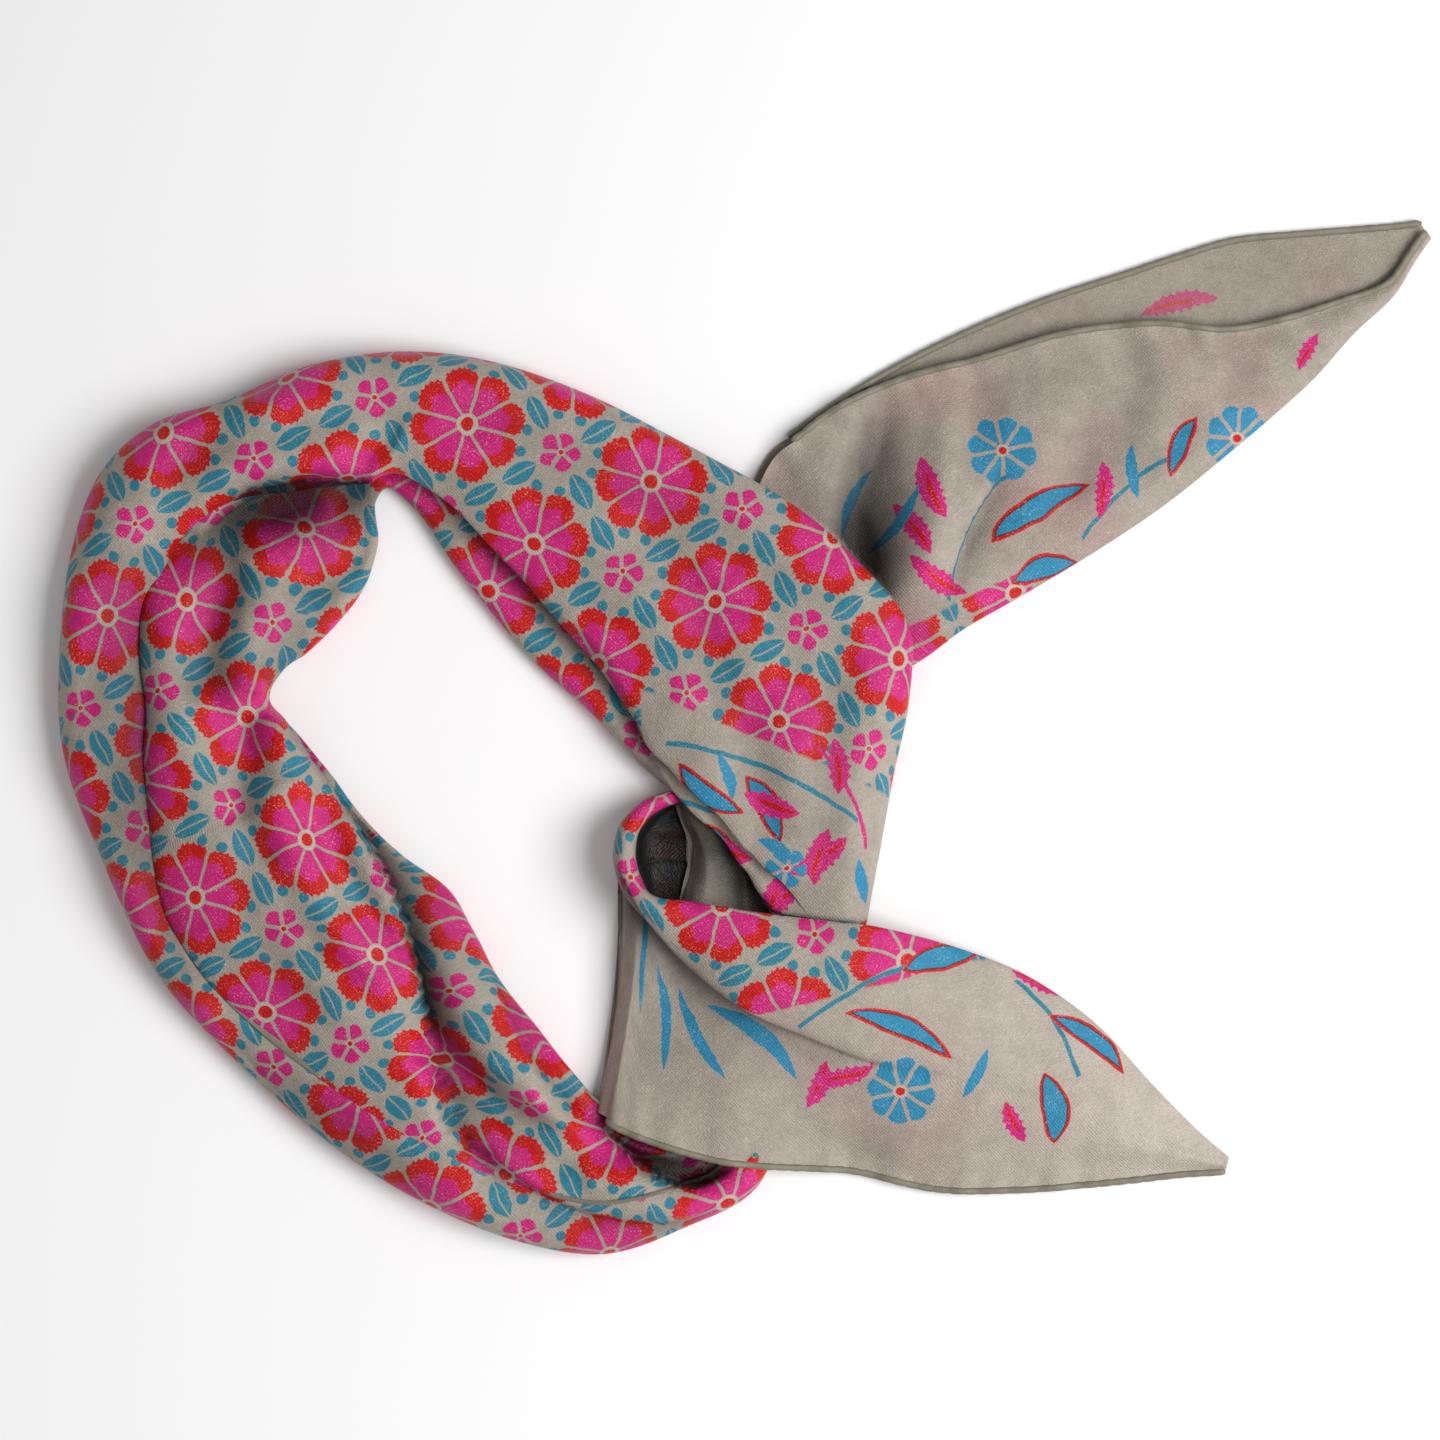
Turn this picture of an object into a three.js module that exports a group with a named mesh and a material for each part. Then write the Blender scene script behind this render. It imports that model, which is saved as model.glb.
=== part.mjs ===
import * as THREE from "three";

// Driving dimensions in millimetres
const loopWidth = 262;
const loopDepth = 274;
const bandRise = 24;
const strandRise = 9;
const clothWall = 1.2;
const layerGap = 0.5;
const curlRise = 15;
const upperTailLength = 212;
const upperTailWidth = 77;
const upperTailRise = 12;
const upperTailHeading = 30;
const lowerTailLength = 193;
const lowerTailWidth = 70;
const hemDiameter = 2.6;
const seatGap = 0.45;

// Levels of the middle of the cloth where stretches lie on each other
const tableLevel = clothWall / 2;
const layerStep = clothWall + layerGap;
const crossingLevel = strandRise + layerStep;
const crossingCrest = crossingLevel + 2.5 * layerStep;
const tailLevel = crossingCrest + layerStep;

const linen = new THREE.Color(0.55, 0.48, 0.41);
const rose = new THREE.Color(0.6, 0.28, 0.3);
const reverse = new THREE.Color(0.4, 0.38, 0.32);
const hemThread = new THREE.Color(0.33, 0.31, 0.25);

// Outline of the band, a row for each section round the ring from the crossing's end.
// Shares of the loop's width and depth, at the band's outer and inner edge.
const bandOutline = [
  { outX: 0.94, outY: 0.365, inX: 0.83, inY: 0.38 },
  { outX: 0.955, outY: 0.445, inX: 0.785, inY: 0.445 },
  { outX: 0.97, outY: 0.525, inX: 0.725, inY: 0.505 },
  { outX: 0.99, outY: 0.62, inX: 0.675, inY: 0.545 },
  { outX: 0.99, outY: 0.695, inX: 0.62, inY: 0.6 },
  { outX: 0.92, outY: 0.775, inX: 0.555, inY: 0.655 },
  { outX: 0.835, outY: 0.84, inX: 0.5, inY: 0.715 },
  { outX: 0.735, outY: 0.895, inX: 0.455, inY: 0.77 },
  { outX: 0.62, outY: 0.95, inX: 0.415, inY: 0.825 },
  { outX: 0.5, outY: 0.99, inX: 0.38, inY: 0.85 },
  { outX: 0.395, outY: 1.0, inX: 0.365, inY: 0.83 },
  { outX: 0.295, outY: 0.985, inX: 0.37, inY: 0.79 },
  { outX: 0.2, outY: 0.95, inX: 0.355, inY: 0.74 },
  { outX: 0.11, outY: 0.92, inX: 0.33, inY: 0.705 },
  { outX: 0.045, outY: 0.86, inX: 0.3, inY: 0.675 },
  { outX: 0.01, outY: 0.765, inX: 0.26, inY: 0.645 },
  { outX: 0.0, outY: 0.655, inX: 0.245, inY: 0.615 },
  { outX: 0.005, outY: 0.555, inX: 0.275, inY: 0.58 },
  { outX: 0.04, outY: 0.46, inX: 0.315, inY: 0.535 },
  { outX: 0.08, outY: 0.37, inX: 0.35, inY: 0.49 },
  { outX: 0.14, outY: 0.28, inX: 0.4, inY: 0.445 },
  { outX: 0.225, outY: 0.195, inX: 0.455, inY: 0.405 },
  { outX: 0.325, outY: 0.115, inX: 0.485, inY: 0.355 },
  { outX: 0.43, outY: 0.055, inX: 0.51, inY: 0.31 },
  { outX: 0.535, outY: 0.015, inX: 0.55, inY: 0.26 },
  { outX: 0.635, outY: 0.0, inX: 0.595, inY: 0.205 },
  { outX: 0.73, outY: 0.03, inX: 0.635, inY: 0.165 },
  { outX: 0.81, outY: 0.065, inX: 0.688, inY: 0.14 },
];

// The lengthwise fold of the band, by section number. Places across are shares of the band's
// width from its outer edge; heights are shares of the band's rise. A positive step laps the
// outer layer over the inner one, a negative step laps the inner layer over the outer one.
const bandFold = [
  { at: 0, crest: 0.6, nearEdge: 0.6, farEdge: 0.6, level: 0.58, step: 0.0, innerCrest: 0.57 },
  { at: 1.2, crest: 0.82, nearEdge: 0.75, farEdge: 0.75, level: 0.7, step: 0.02, innerCrest: 0.62 },
  { at: 3, crest: 0.98, nearEdge: 0.8, farEdge: 0.92, level: 0.52, step: 0.12, innerCrest: 0.42 },
  { at: 5, crest: 1.0, nearEdge: 0.68, farEdge: 0.87, level: 0.42, step: 0.14, innerCrest: 0.32 },
  { at: 7, crest: 0.95, nearEdge: 0.66, farEdge: 0.86, level: 0.4, step: 0.15, innerCrest: 0.3 },
  { at: 9, crest: 0.92, nearEdge: 0.72, farEdge: 0.92, level: 0.42, step: 0.16, innerCrest: 0.26 },
  { at: 10, crest: 0.95, nearEdge: 0.64, farEdge: 0.85, level: 0.45, step: 0.18, innerCrest: 0.3 },
  { at: 11, crest: 0.98, nearEdge: 0.46, farEdge: 0.67, level: 0.46, step: 0.2, innerCrest: 0.42 },
  { at: 12, crest: 0.98, nearEdge: 0.32, farEdge: 0.5, level: 0.46, step: 0.2, innerCrest: 0.62 },
  { at: 13, crest: 0.94, nearEdge: 0.31, farEdge: 0.42, level: 0.46, step: 0.17, innerCrest: 0.72 },
  { at: 14.2, crest: 0.86, nearEdge: 0.34, farEdge: 0.38, level: 0.42, step: 0.08, innerCrest: 0.8 },
  { at: 15, crest: 0.8, nearEdge: 0.36, farEdge: 0.38, level: 0.4, step: -0.04, innerCrest: 0.85 },
  { at: 16.3, crest: 0.74, nearEdge: 0.42, farEdge: 0.54, level: 0.42, step: -0.13, innerCrest: 0.9 },
  { at: 17.2, crest: 0.7, nearEdge: 0.36, farEdge: 0.5, level: 0.42, step: -0.14, innerCrest: 0.92 },
  { at: 18.4, crest: 0.62, nearEdge: 0.22, farEdge: 0.36, level: 0.4, step: -0.13, innerCrest: 0.95 },
  { at: 20, crest: 0.5, nearEdge: 0.12, farEdge: 0.22, level: 0.38, step: -0.1, innerCrest: 0.98 },
  { at: 22, crest: 0.48, nearEdge: 0.11, farEdge: 0.13, level: 0.48, step: -0.02, innerCrest: 0.96 },
  { at: 25, crest: 0.55, nearEdge: 0.14, farEdge: 0.14, level: 0.56, step: 0.0, innerCrest: 0.7 },
  { at: 26, crest: 0.5, nearEdge: 0.2, farEdge: 0.2, level: 0.42, step: 0.02, innerCrest: 0.33 },
  { at: 27, crest: 0.42, nearEdge: 0.25, farEdge: 0.25, level: 0.32, step: 0.02, innerCrest: 0.27 },
];

// Where the band's edges lie: on the table, or lifted over the strand under the crossing.
// Levels are shares of the crossing's level, lips are shares of the band's width turned under.
const bandSeat = [
  { at: 0, outLevel: 0.4, inLevel: 1.0, outLip: 0.03, inLip: 0.1 },
  { at: 1, outLevel: 0.1, inLevel: 1.0, outLip: 0.03, inLip: 0.1 },
  { at: 2, outLevel: 0.1, inLevel: 0.95, outLip: 0.03, inLip: 0.06 },
  { at: 2.7, outLevel: 0.4, inLevel: 0.3, outLip: 0.03, inLip: 0.05 },
  { at: 3.3, outLevel: 1.05, inLevel: 0.0, outLip: 0.08, inLip: 0.06 },
  { at: 4, outLevel: 1.12, inLevel: 0.0, outLip: 0.14, inLip: 0.08 },
  { at: 6, outLevel: 1.12, inLevel: 0.0, outLip: 0.14, inLip: 0.14 },
  { at: 7, outLevel: 0.5, inLevel: 0.0, outLip: 0.2, inLip: 0.2 },
  { at: 8, outLevel: 0.0, inLevel: 0.0, outLip: 0.32, inLip: 0.24 },
  { at: 27, outLevel: 0.0, inLevel: 0.0, outLip: 0.32, inLip: 0.24 },
];

// Creases pressed into the band, a row for each. Sections from and to, shares of the width
// at both ends, depth and breadth as shares of the band's rise.
const bandCreases = [
  { from: 17.5, to: 25.5, start: 1.0, end: 0.3, depth: 0.36, breadth: 0.26 },
  { from: 21, to: 27.5, start: 0.85, end: 0.5, depth: 0.24, breadth: 0.24 },
  { from: 13.5, to: 18.5, start: 0.62, end: 0.78, depth: 0.2, breadth: 0.3 },
  { from: 2.2, to: 6.5, start: 0.3, end: 0.48, depth: 0.1, breadth: 0.4 },
  { from: 8.2, to: 13.5, start: 0.42, end: 0.16, depth: 0.12, breadth: 0.3 },
];

// The strand that passes under the crossing, shares of the loop's width and depth, with the
// level of its lower layer in steps of one layer and of its upper layer in strand rises
const strandOutline = [
  { outX: 0.815, outY: 0.072, inX: 0.692, inY: 0.147, under: 0.0, over: 0.62 },
  { outX: 0.855, outY: 0.165, inX: 0.7, inY: 0.205, under: 0.9, over: 0.82 },
  { outX: 0.88, outY: 0.275, inX: 0.7, inY: 0.305, under: 1.2, over: 0.9 },
  { outX: 0.895, outY: 0.385, inX: 0.715, inY: 0.4, under: 1.2, over: 0.9 },
  { outX: 0.915, outY: 0.475, inX: 0.725, inY: 0.5, under: 1.2, over: 0.9 },
  { outX: 0.94, outY: 0.56, inX: 0.735, inY: 0.62, under: 0.6, over: 0.9 },
  { outX: 0.965, outY: 0.605, inX: 0.765, inY: 0.74, under: 0.0, over: 0.92 },
];

// The corner at the upper right, shares of its length along and of its width across, from
// its axis. The back layer runs from its hem to the fold and comes back over as the front
// layer. Heights are shares of the tail's rise.
const upperTailRows = [
  { along: 0.0, backHem: 0.53, fold: -0.49, frontHem: 0.5, crest: 0.82, edge: 0.42 },
  { along: 0.06, backHem: 0.555, fold: -0.48, frontHem: 0.53, crest: 0.95, edge: 0.42 },
  { along: 0.12, backHem: 0.57, fold: -0.46, frontHem: 0.55, crest: 1.0, edge: 0.42 },
  { along: 0.22, backHem: 0.575, fold: -0.46, frontHem: 0.525, crest: 1.0, edge: 0.4 },
  { along: 0.34, backHem: 0.555, fold: -0.453, frontHem: 0.435, crest: 0.9, edge: 0.4 },
  { along: 0.46, backHem: 0.51, fold: -0.43, frontHem: 0.355, crest: 0.8, edge: 0.42 },
  { along: 0.58, backHem: 0.44, fold: -0.377, frontHem: 0.21, crest: 0.7, edge: 0.42 },
  { along: 0.66, backHem: 0.395, fold: -0.335, frontHem: 0.055, crest: 0.6, edge: 0.4 },
  { along: 0.74, backHem: 0.34, fold: -0.285, frontHem: -0.025, crest: 0.5, edge: 0.36 },
  { along: 0.82, backHem: 0.24, fold: -0.21, frontHem: -0.075, crest: 0.42, edge: 0.32 },
  { along: 0.9, backHem: 0.135, fold: -0.155, frontHem: -0.11, crest: 0.32, edge: 0.28 },
];
const upperTailTip = [
  { along: 0.95, backHem: 0.07, fold: -0.08, frontHem: -0.05, crest: 0.28, edge: 0.26 },
  { along: 0.985, backHem: 0.03, fold: -0.035, frontHem: -0.005, crest: 0.28, edge: 0.26 },
];
const upperTailRootX = 0.902;
const upperTailRootY = 0.755;

// The corner at the lower right, shares of its length along and of its width across, from
// its left hem corner. Levels are shares of the tail's level over the crossing.
const lowerTailRows = [
  { topAlong: 0.06, topAcross: 1.0, hemAlong: 0.006, hemAcross: 0.02, top: 1.0, hem: 0.62, puff: 0.1 },
  { topAlong: 0.136, topAcross: 0.974, hemAlong: 0.082, hemAcross: -0.07, top: 1.0, hem: 0.6, puff: 0.16 },
  { topAlong: 0.24, topAcross: 0.93, hemAlong: 0.187, hemAcross: -0.15, top: 1.02, hem: 0.56, puff: 0.2 },
  { topAlong: 0.348, topAcross: 0.895, hemAlong: 0.294, hemAcross: -0.18, top: 1.05, hem: 0.3, puff: 0.3 },
  { topAlong: 0.43, topAcross: 0.868, hemAlong: 0.389, hemAcross: -0.2, top: 0.95, hem: 0.0, puff: 0.45 },
  { topAlong: 0.566, topAcross: 0.763, hemAlong: 0.524, hemAcross: -0.28, top: 0.3, hem: 0.0, puff: 0.62 },
  { topAlong: 0.674, topAcross: 0.636, hemAlong: 0.642, hemAcross: -0.285, top: 0.05, hem: 0.0, puff: 0.55 },
  { topAlong: 0.778, topAcross: 0.43, hemAlong: 0.745, hemAcross: -0.265, top: 0.0, hem: 0.0, puff: 0.42 },
  { topAlong: 0.864, topAcross: 0.171, hemAlong: 0.837, hemAcross: -0.24, top: 0.0, hem: 0.0, puff: 0.3 },
  { topAlong: 0.935, topAcross: -0.03, hemAlong: 0.915, hemAcross: -0.215, top: 0.0, hem: 0.0, puff: 0.2 },
  { topAlong: 0.985, topAcross: -0.15, hemAlong: 0.98, hemAcross: -0.205, top: 0.0, hem: 0.0, puff: 0.14 },
];
const hiddenHemSetback = 0.08;
const lowerTailCornerX = 0.635;
const lowerTailCornerY = 0.145;

// The stretch that turns under the crossing, a row for each section from the top down.
// Places are shares of the loop's width and depth, the height is a share of the curl's rise.
const wrapRows = [
  { y: 0.495, left: 0.7, lip: 0.71, rise: 0.45, right: 0.88 },
  { y: 0.48, left: 0.677, lip: 0.695, rise: 0.8, right: 0.905 },
  { y: 0.458, left: 0.657, lip: 0.68, rise: 1.0, right: 0.92 },
  { y: 0.434, left: 0.649, lip: 0.672, rise: 1.04, right: 0.925 },
  { y: 0.412, left: 0.653, lip: 0.671, rise: 1.12, right: 0.925 },
  { y: 0.37, left: 0.655, lip: 0.6655, rise: 1.2, right: 0.92 },
  { y: 0.3, left: 0.65, lip: 0.6545, rise: 1.1, right: 0.9 },
  { y: 0.225, left: 0.64, lip: 0.643, rise: 0.95, right: 0.87 },
];

// Value of one column at a place between rows, without overshoot
function readColumn(rows, placeName, columnName, place) {
  const places = rows.map((row) => row[placeName]);
  const values = rows.map((row) => row[columnName]);
  const last = rows.length - 1;
  if (place <= places[0]) return values[0];
  if (place >= places[last]) return values[last];
  let k = 0;
  while (place > places[k + 1]) k += 1;
  const rate = (i) => (values[i + 1] - values[i]) / (places[i + 1] - places[i]);
  const slope = (i) => {
    if (i === 0) return rate(0);
    if (i === last) return rate(last - 1);
    const before = rate(i - 1);
    const after = rate(i);
    return before * after <= 0 ? 0 : (2 * before * after) / (before + after);
  };
  const span = places[k + 1] - places[k];
  const t = (place - places[k]) / span;
  const rise = values[k + 1] - values[k];
  const a = slope(k) * span - rise;
  const b = rise - slope(k + 1) * span;
  return values[k] + rise * t + t * (1 - t) * (a * (1 - t) + b * t);
}

// Smooth curve pulled by control points, held at both ends
function pullCurve(controls, count) {
  const first = controls[0];
  const last = controls[controls.length - 1];
  const held = [first, first, ...controls, last, last];
  const spans = held.length - 3;
  const points = [];
  for (let i = 0; i <= count; i += 1) {
    const place = (i / count) * spans;
    const k = Math.min(Math.floor(place), spans - 1);
    const t = place - k;
    const weights = [
      (1 - t) ** 3 / 6,
      (3 * t ** 3 - 6 * t ** 2 + 4) / 6,
      (-3 * t ** 3 + 3 * t ** 2 + 3 * t + 1) / 6,
      t ** 3 / 6,
    ];
    const sum = first.map(() => 0);
    for (let j = 0; j < 4; j += 1) {
      for (let axis = 0; axis < sum.length; axis += 1) {
        sum[axis] += weights[j] * held[k + j][axis];
      }
    }
    points.push(sum);
  }
  return points;
}

// Closed wall round a grid of middle points, one row of points for each section
function wallFromSections(sections, thickness, lowest) {
  const rowCount = sections.length;
  const columnCount = sections[0].length;
  const cornerOf = (side, i, j) => side * rowCount * columnCount + i * columnCount + j;
  const positions = [];
  for (const side of [0.5, -0.5]) {
    for (let i = 0; i < rowCount; i += 1) {
      for (let j = 0; j < columnCount; j += 1) {
        const alongRows = new THREE.Vector3().subVectors(
          sections[Math.min(i + 1, rowCount - 1)][j], sections[Math.max(i - 1, 0)][j]);
        const alongColumns = new THREE.Vector3().subVectors(
          sections[i][Math.min(j + 1, columnCount - 1)], sections[i][Math.max(j - 1, 0)]);
        const normal = alongRows.cross(alongColumns).normalize();
        const point = sections[i][j].clone().addScaledVector(normal, side * thickness);
        positions.push(point.x, point.y, Math.max(point.z, lowest));
      }
    }
  }
  const faces = [];
  const addQuad = (a, b, c, d) => faces.push(a, b, c, a, c, d);
  for (let i = 0; i < rowCount - 1; i += 1) {
    for (let j = 0; j < columnCount - 1; j += 1) {
      addQuad(cornerOf(0, i, j), cornerOf(0, i + 1, j), cornerOf(0, i + 1, j + 1), cornerOf(0, i, j + 1));
      addQuad(cornerOf(1, i, j), cornerOf(1, i, j + 1), cornerOf(1, i + 1, j + 1), cornerOf(1, i + 1, j));
    }
  }
  for (let j = 0; j < columnCount - 1; j += 1) {
    const end = rowCount - 1;
    addQuad(cornerOf(0, 0, j), cornerOf(0, 0, j + 1), cornerOf(1, 0, j + 1), cornerOf(1, 0, j));
    addQuad(cornerOf(0, end, j), cornerOf(1, end, j), cornerOf(1, end, j + 1), cornerOf(0, end, j + 1));
  }
  for (let i = 0; i < rowCount - 1; i += 1) {
    const end = columnCount - 1;
    addQuad(cornerOf(0, i, 0), cornerOf(1, i, 0), cornerOf(1, i + 1, 0), cornerOf(0, i + 1, 0));
    addQuad(cornerOf(0, i, end), cornerOf(0, i + 1, end), cornerOf(1, i + 1, end), cornerOf(1, i, end));
  }
  const geometry = new THREE.BufferGeometry();
  geometry.setAttribute("position", new THREE.Float32BufferAttribute(positions, 3));
  geometry.setIndex(faces);
  geometry.computeVertexNormals();
  return geometry;
}

function clothMesh(name, geometry, color) {
  const material = new THREE.MeshStandardMaterial({ color, roughness: 0.5, metalness: 0 });
  const mesh = new THREE.Mesh(geometry, material);
  mesh.name = name;
  return mesh;
}

function placeOnLoop(shareX, shareY, height) {
  return new THREE.Vector3(shareX * loopWidth, shareY * loopDepth, height);
}

// Outer and inner edge of the band at any place along it
const outerEdge = new THREE.CatmullRomCurve3(
  bandOutline.map((row) => placeOnLoop(row.outX, row.outY, 0)), false, "centripetal");
const innerEdge = new THREE.CatmullRomCurve3(
  bandOutline.map((row) => placeOnLoop(row.inX, row.inY, 0)), false, "centripetal");

function creaseDepth(at, across, width) {
  let depth = 0;
  for (const crease of bandCreases) {
    const t = (at - crease.from) / (crease.to - crease.from);
    if (t <= 0 || t >= 1) continue;
    const middle = crease.start + (crease.end - crease.start) * t;
    const distance = ((across - middle) * width) / (crease.breadth * bandRise);
    depth += crease.depth * bandRise * Math.sin(Math.PI * t) ** 0.6 * Math.exp(-distance * distance);
  }
  return depth;
}

function bandSection(at, pointCount) {
  const share = at / (bandOutline.length - 1);
  const outer = outerEdge.getPoint(share);
  const inner = innerEdge.getPoint(share);
  const width = outer.distanceTo(inner);
  const fold = (name) => readColumn(bandFold, "at", name, at);
  const seat = (name) => readColumn(bandSeat, "at", name, at);
  const outLevel = Math.max(tableLevel, seat("outLevel") * crossingLevel);
  const inLevel = Math.max(tableLevel, seat("inLevel") * crossingLevel);
  const crest = fold("crest") * bandRise;
  const innerCrest = fold("innerCrest") * bandRise;
  const near = fold("nearEdge");
  const far = fold("farEdge");
  const level = fold("level") * bandRise;
  const step = fold("step") * bandRise;
  const controls = [
    [seat("outLip"), outLevel],
    [seat("outLip") * 0.5, outLevel],
    [0, outLevel],
    [0, outLevel + (crest - outLevel) * 0.6],
    [near * 0.28, crest],
    [near * 0.72, crest],
    [far, level + step * 1.5],
    [far, level + step * 0.5],
    [near, level - step * 0.5],
    [near, level - step * 1.5],
    [far + (1 - far) * 0.4, innerCrest],
    [far + (1 - far) * 0.75, innerCrest],
    [1, inLevel + (innerCrest - inLevel) * 0.6],
    [1, inLevel],
    [1 - seat("inLip") * 0.5, inLevel],
    [1 - seat("inLip"), inLevel],
  ];
  const across = new THREE.Vector3().subVectors(inner, outer);
  return pullCurve(controls, pointCount).map(([place, height]) => {
    const onTop = THREE.MathUtils.smoothstep(height, 0.2 * bandRise, 0.55 * bandRise);
    const pressed = height - creaseDepth(at, place, width) * onTop;
    return outer.clone().addScaledVector(across, place).setZ(Math.max(pressed, tableLevel));
  });
}

function makeNeckLoop() {
  const sectionCount = 52;
  const pointCount = 30;
  const sections = [];
  for (let i = 0; i <= sectionCount; i += 1) {
    sections.push(bandSection((i / sectionCount) * (bandOutline.length - 1), pointCount));
  }
  return clothMesh("neck_loop", wallFromSections(sections, clothWall, 0), rose);
}

// A two-layer section from the back hem, round the fold and back to the front hem
function foldedSection(backHem, foldEdge, frontHem, levels, pointCount) {
  const along = (share) => new THREE.Vector3().lerpVectors(backHem, foldEdge, share);
  const back = (share) => new THREE.Vector3().lerpVectors(frontHem, foldEdge, share);
  const at = (point, height) => [point.x, point.y, height];
  const controls = [
    at(along(0), levels.backHem),
    at(along(0.35), levels.back),
    at(along(0.7), levels.back),
    at(along(1), levels.foldLow),
    at(along(1), levels.foldHigh),
    at(back(0.72), levels.crest),
    at(back(0.35), levels.crest),
    at(back(0.1), levels.frontHem),
    at(back(0), levels.frontHem),
  ];
  return pullCurve(controls, pointCount).map((point) => new THREE.Vector3(...point));
}

// Point of the upper tail's own frame, from its root between the edges of the crossing
const tailHeading = THREE.MathUtils.degToRad(upperTailHeading);
function placeOnUpperTail(along, across, height) {
  const root = placeOnLoop(upperTailRootX, upperTailRootY, height);
  const forward = along * upperTailLength;
  const sideways = across * upperTailWidth;
  root.x += forward * Math.cos(tailHeading) - sideways * Math.sin(tailHeading);
  root.y += forward * Math.sin(tailHeading) + sideways * Math.cos(tailHeading);
  return root;
}

function upperTailSection(row) {
  const crest = row.crest * upperTailRise;
  const edge = row.edge * upperTailRise;
  const low = tableLevel;
  const levels = { backHem: low, back: low, foldLow: low, foldHigh: crest * 0.7, crest, frontHem: edge };
  const backHem = placeOnUpperTail(row.along, row.backHem, 0);
  const foldEdge = placeOnUpperTail(row.along, row.fold, 0);
  const frontHem = placeOnUpperTail(row.along, row.frontHem, 0);
  return foldedSection(backHem, foldEdge, frontHem, levels, 12);
}

function strandSection(row) {
  const under = tableLevel + row.under * layerStep;
  const over = row.over * strandRise;
  const levels = {
    backHem: under, back: under, foldLow: under, foldHigh: over * 0.8, crest: over, frontHem: over,
  };
  const inner = placeOnLoop(row.inX, row.inY, 0);
  const outer = placeOnLoop(row.outX, row.outY, 0);
  const upperEdge = new THREE.Vector3().lerpVectors(inner, outer, hiddenHemSetback / 2);
  return foldedSection(inner, outer, upperEdge, levels, 12);
}

// Sections added between the given ones on smooth curves
function refineSections(sections, steps) {
  const lines = sections[0].map((_, j) => new THREE.CatmullRomCurve3(
    sections.map((section) => section[j]), false, "centripetal"));
  const count = (sections.length - 1) * steps;
  const refined = [];
  for (let i = 0; i <= count; i += 1) {
    refined.push(lines.map((line) => {
      const point = line.getPoint(i / count);
      return point.setZ(Math.max(point.z, tableLevel));
    }));
  }
  return refined;
}

function makeUpperTail() {
  const sections = [
    ...strandOutline.map(strandSection),
    ...upperTailRows.map(upperTailSection),
    ...upperTailTip.map(upperTailSection),
  ];
  return clothMesh("upper_tail", wallFromSections(refineSections(sections, 2), clothWall, 0), linen);
}

function placeOnLowerTail(along, across, height) {
  const corner = placeOnLoop(lowerTailCornerX, lowerTailCornerY, height);
  corner.x += along * lowerTailLength;
  corner.y += across * lowerTailWidth;
  return corner;
}

function lowerTailSection(row) {
  const top = tableLevel + row.top * (tailLevel - tableLevel);
  const hem = tableLevel + row.hem * (tailLevel - tableLevel);
  const middle = (top + hem) / 2;
  const puff = row.puff * tailLevel;
  const levels = {
    backHem: hem, back: middle, foldLow: top, foldHigh: top + 2 * layerStep,
    crest: middle + puff + layerStep, frontHem: hem + 1.5 * layerStep,
  };
  const hemPoint = placeOnLowerTail(row.hemAlong, row.hemAcross, 0);
  const topPoint = placeOnLowerTail(row.topAlong, row.topAcross, 0);
  const backPoint = new THREE.Vector3().lerpVectors(hemPoint, topPoint, hiddenHemSetback);
  return foldedSection(backPoint, topPoint, hemPoint, levels, 12);
}

function makeLowerTail() {
  const sections = lowerTailRows.map(lowerTailSection);
  return clothMesh("lower_tail", wallFromSections(refineSections(sections, 2), clothWall, 0), linen);
}

function wrapSection(row) {
  const rise = row.rise * curlRise;
  const controls = [
    [row.right, tableLevel],
    [row.left * 0.4 + row.right * 0.6, tableLevel],
    [row.left * 0.8 + row.right * 0.2, tableLevel],
    [row.left, tableLevel],
    [row.left, rise * 0.5],
    [row.left, rise],
    [(row.left + row.lip) / 2, rise],
    [row.lip, rise * 0.9],
  ];
  return pullCurve(controls, 14).map(([x, height]) => placeOnLoop(x, row.y, height));
}

function makeKnotWrap() {
  const sections = wrapRows.map(wrapSection);
  return clothMesh("knot_wrap", wallFromSections(refineSections(sections, 2), clothWall, 0), reverse);
}

// Rolled hem: a round section swept along the middle points of an edge
function makeHem(name, points) {
  const path = new THREE.CatmullRomCurve3(points, false, "centripetal");
  const sides = 6;
  const section = new THREE.Shape();
  for (let i = 0; i < sides; i += 1) {
    const angle = ((i + 0.5) / sides) * Math.PI * 2;
    const x = (Math.cos(angle) * hemDiameter) / 2;
    const y = (Math.sin(angle) * hemDiameter) / 2;
    if (i === 0) section.moveTo(x, y);
    else section.lineTo(x, y);
  }
  section.closePath();
  const geometry = new THREE.ExtrudeGeometry(section, { steps: points.length * 2, extrudePath: path });
  return clothMesh(name, geometry, hemThread);
}

const hemLevel = hemDiameter / 2;

// Points moved sideways off the cloth's edge, level with the table
function besideEdge(points, side) {
  const offset = side * (hemDiameter / 2 + seatGap);
  return points.map((point, i) => {
    const ahead = points[Math.min(i + 1, points.length - 1)];
    const behind = points[Math.max(i - 1, 0)];
    const run = new THREE.Vector3(ahead.x - behind.x, ahead.y - behind.y, 0).normalize();
    return new THREE.Vector3(point.x - run.y * offset, point.y + run.x * offset, point.z);
  });
}

function makeUpperBackHem() {
  const rows = [...upperTailRows, ...upperTailTip];
  const points = rows.map((row) => placeOnUpperTail(row.along, row.backHem, hemLevel));
  return makeHem("upper_tail_back_hem", besideEdge(points, 1));
}

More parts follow.
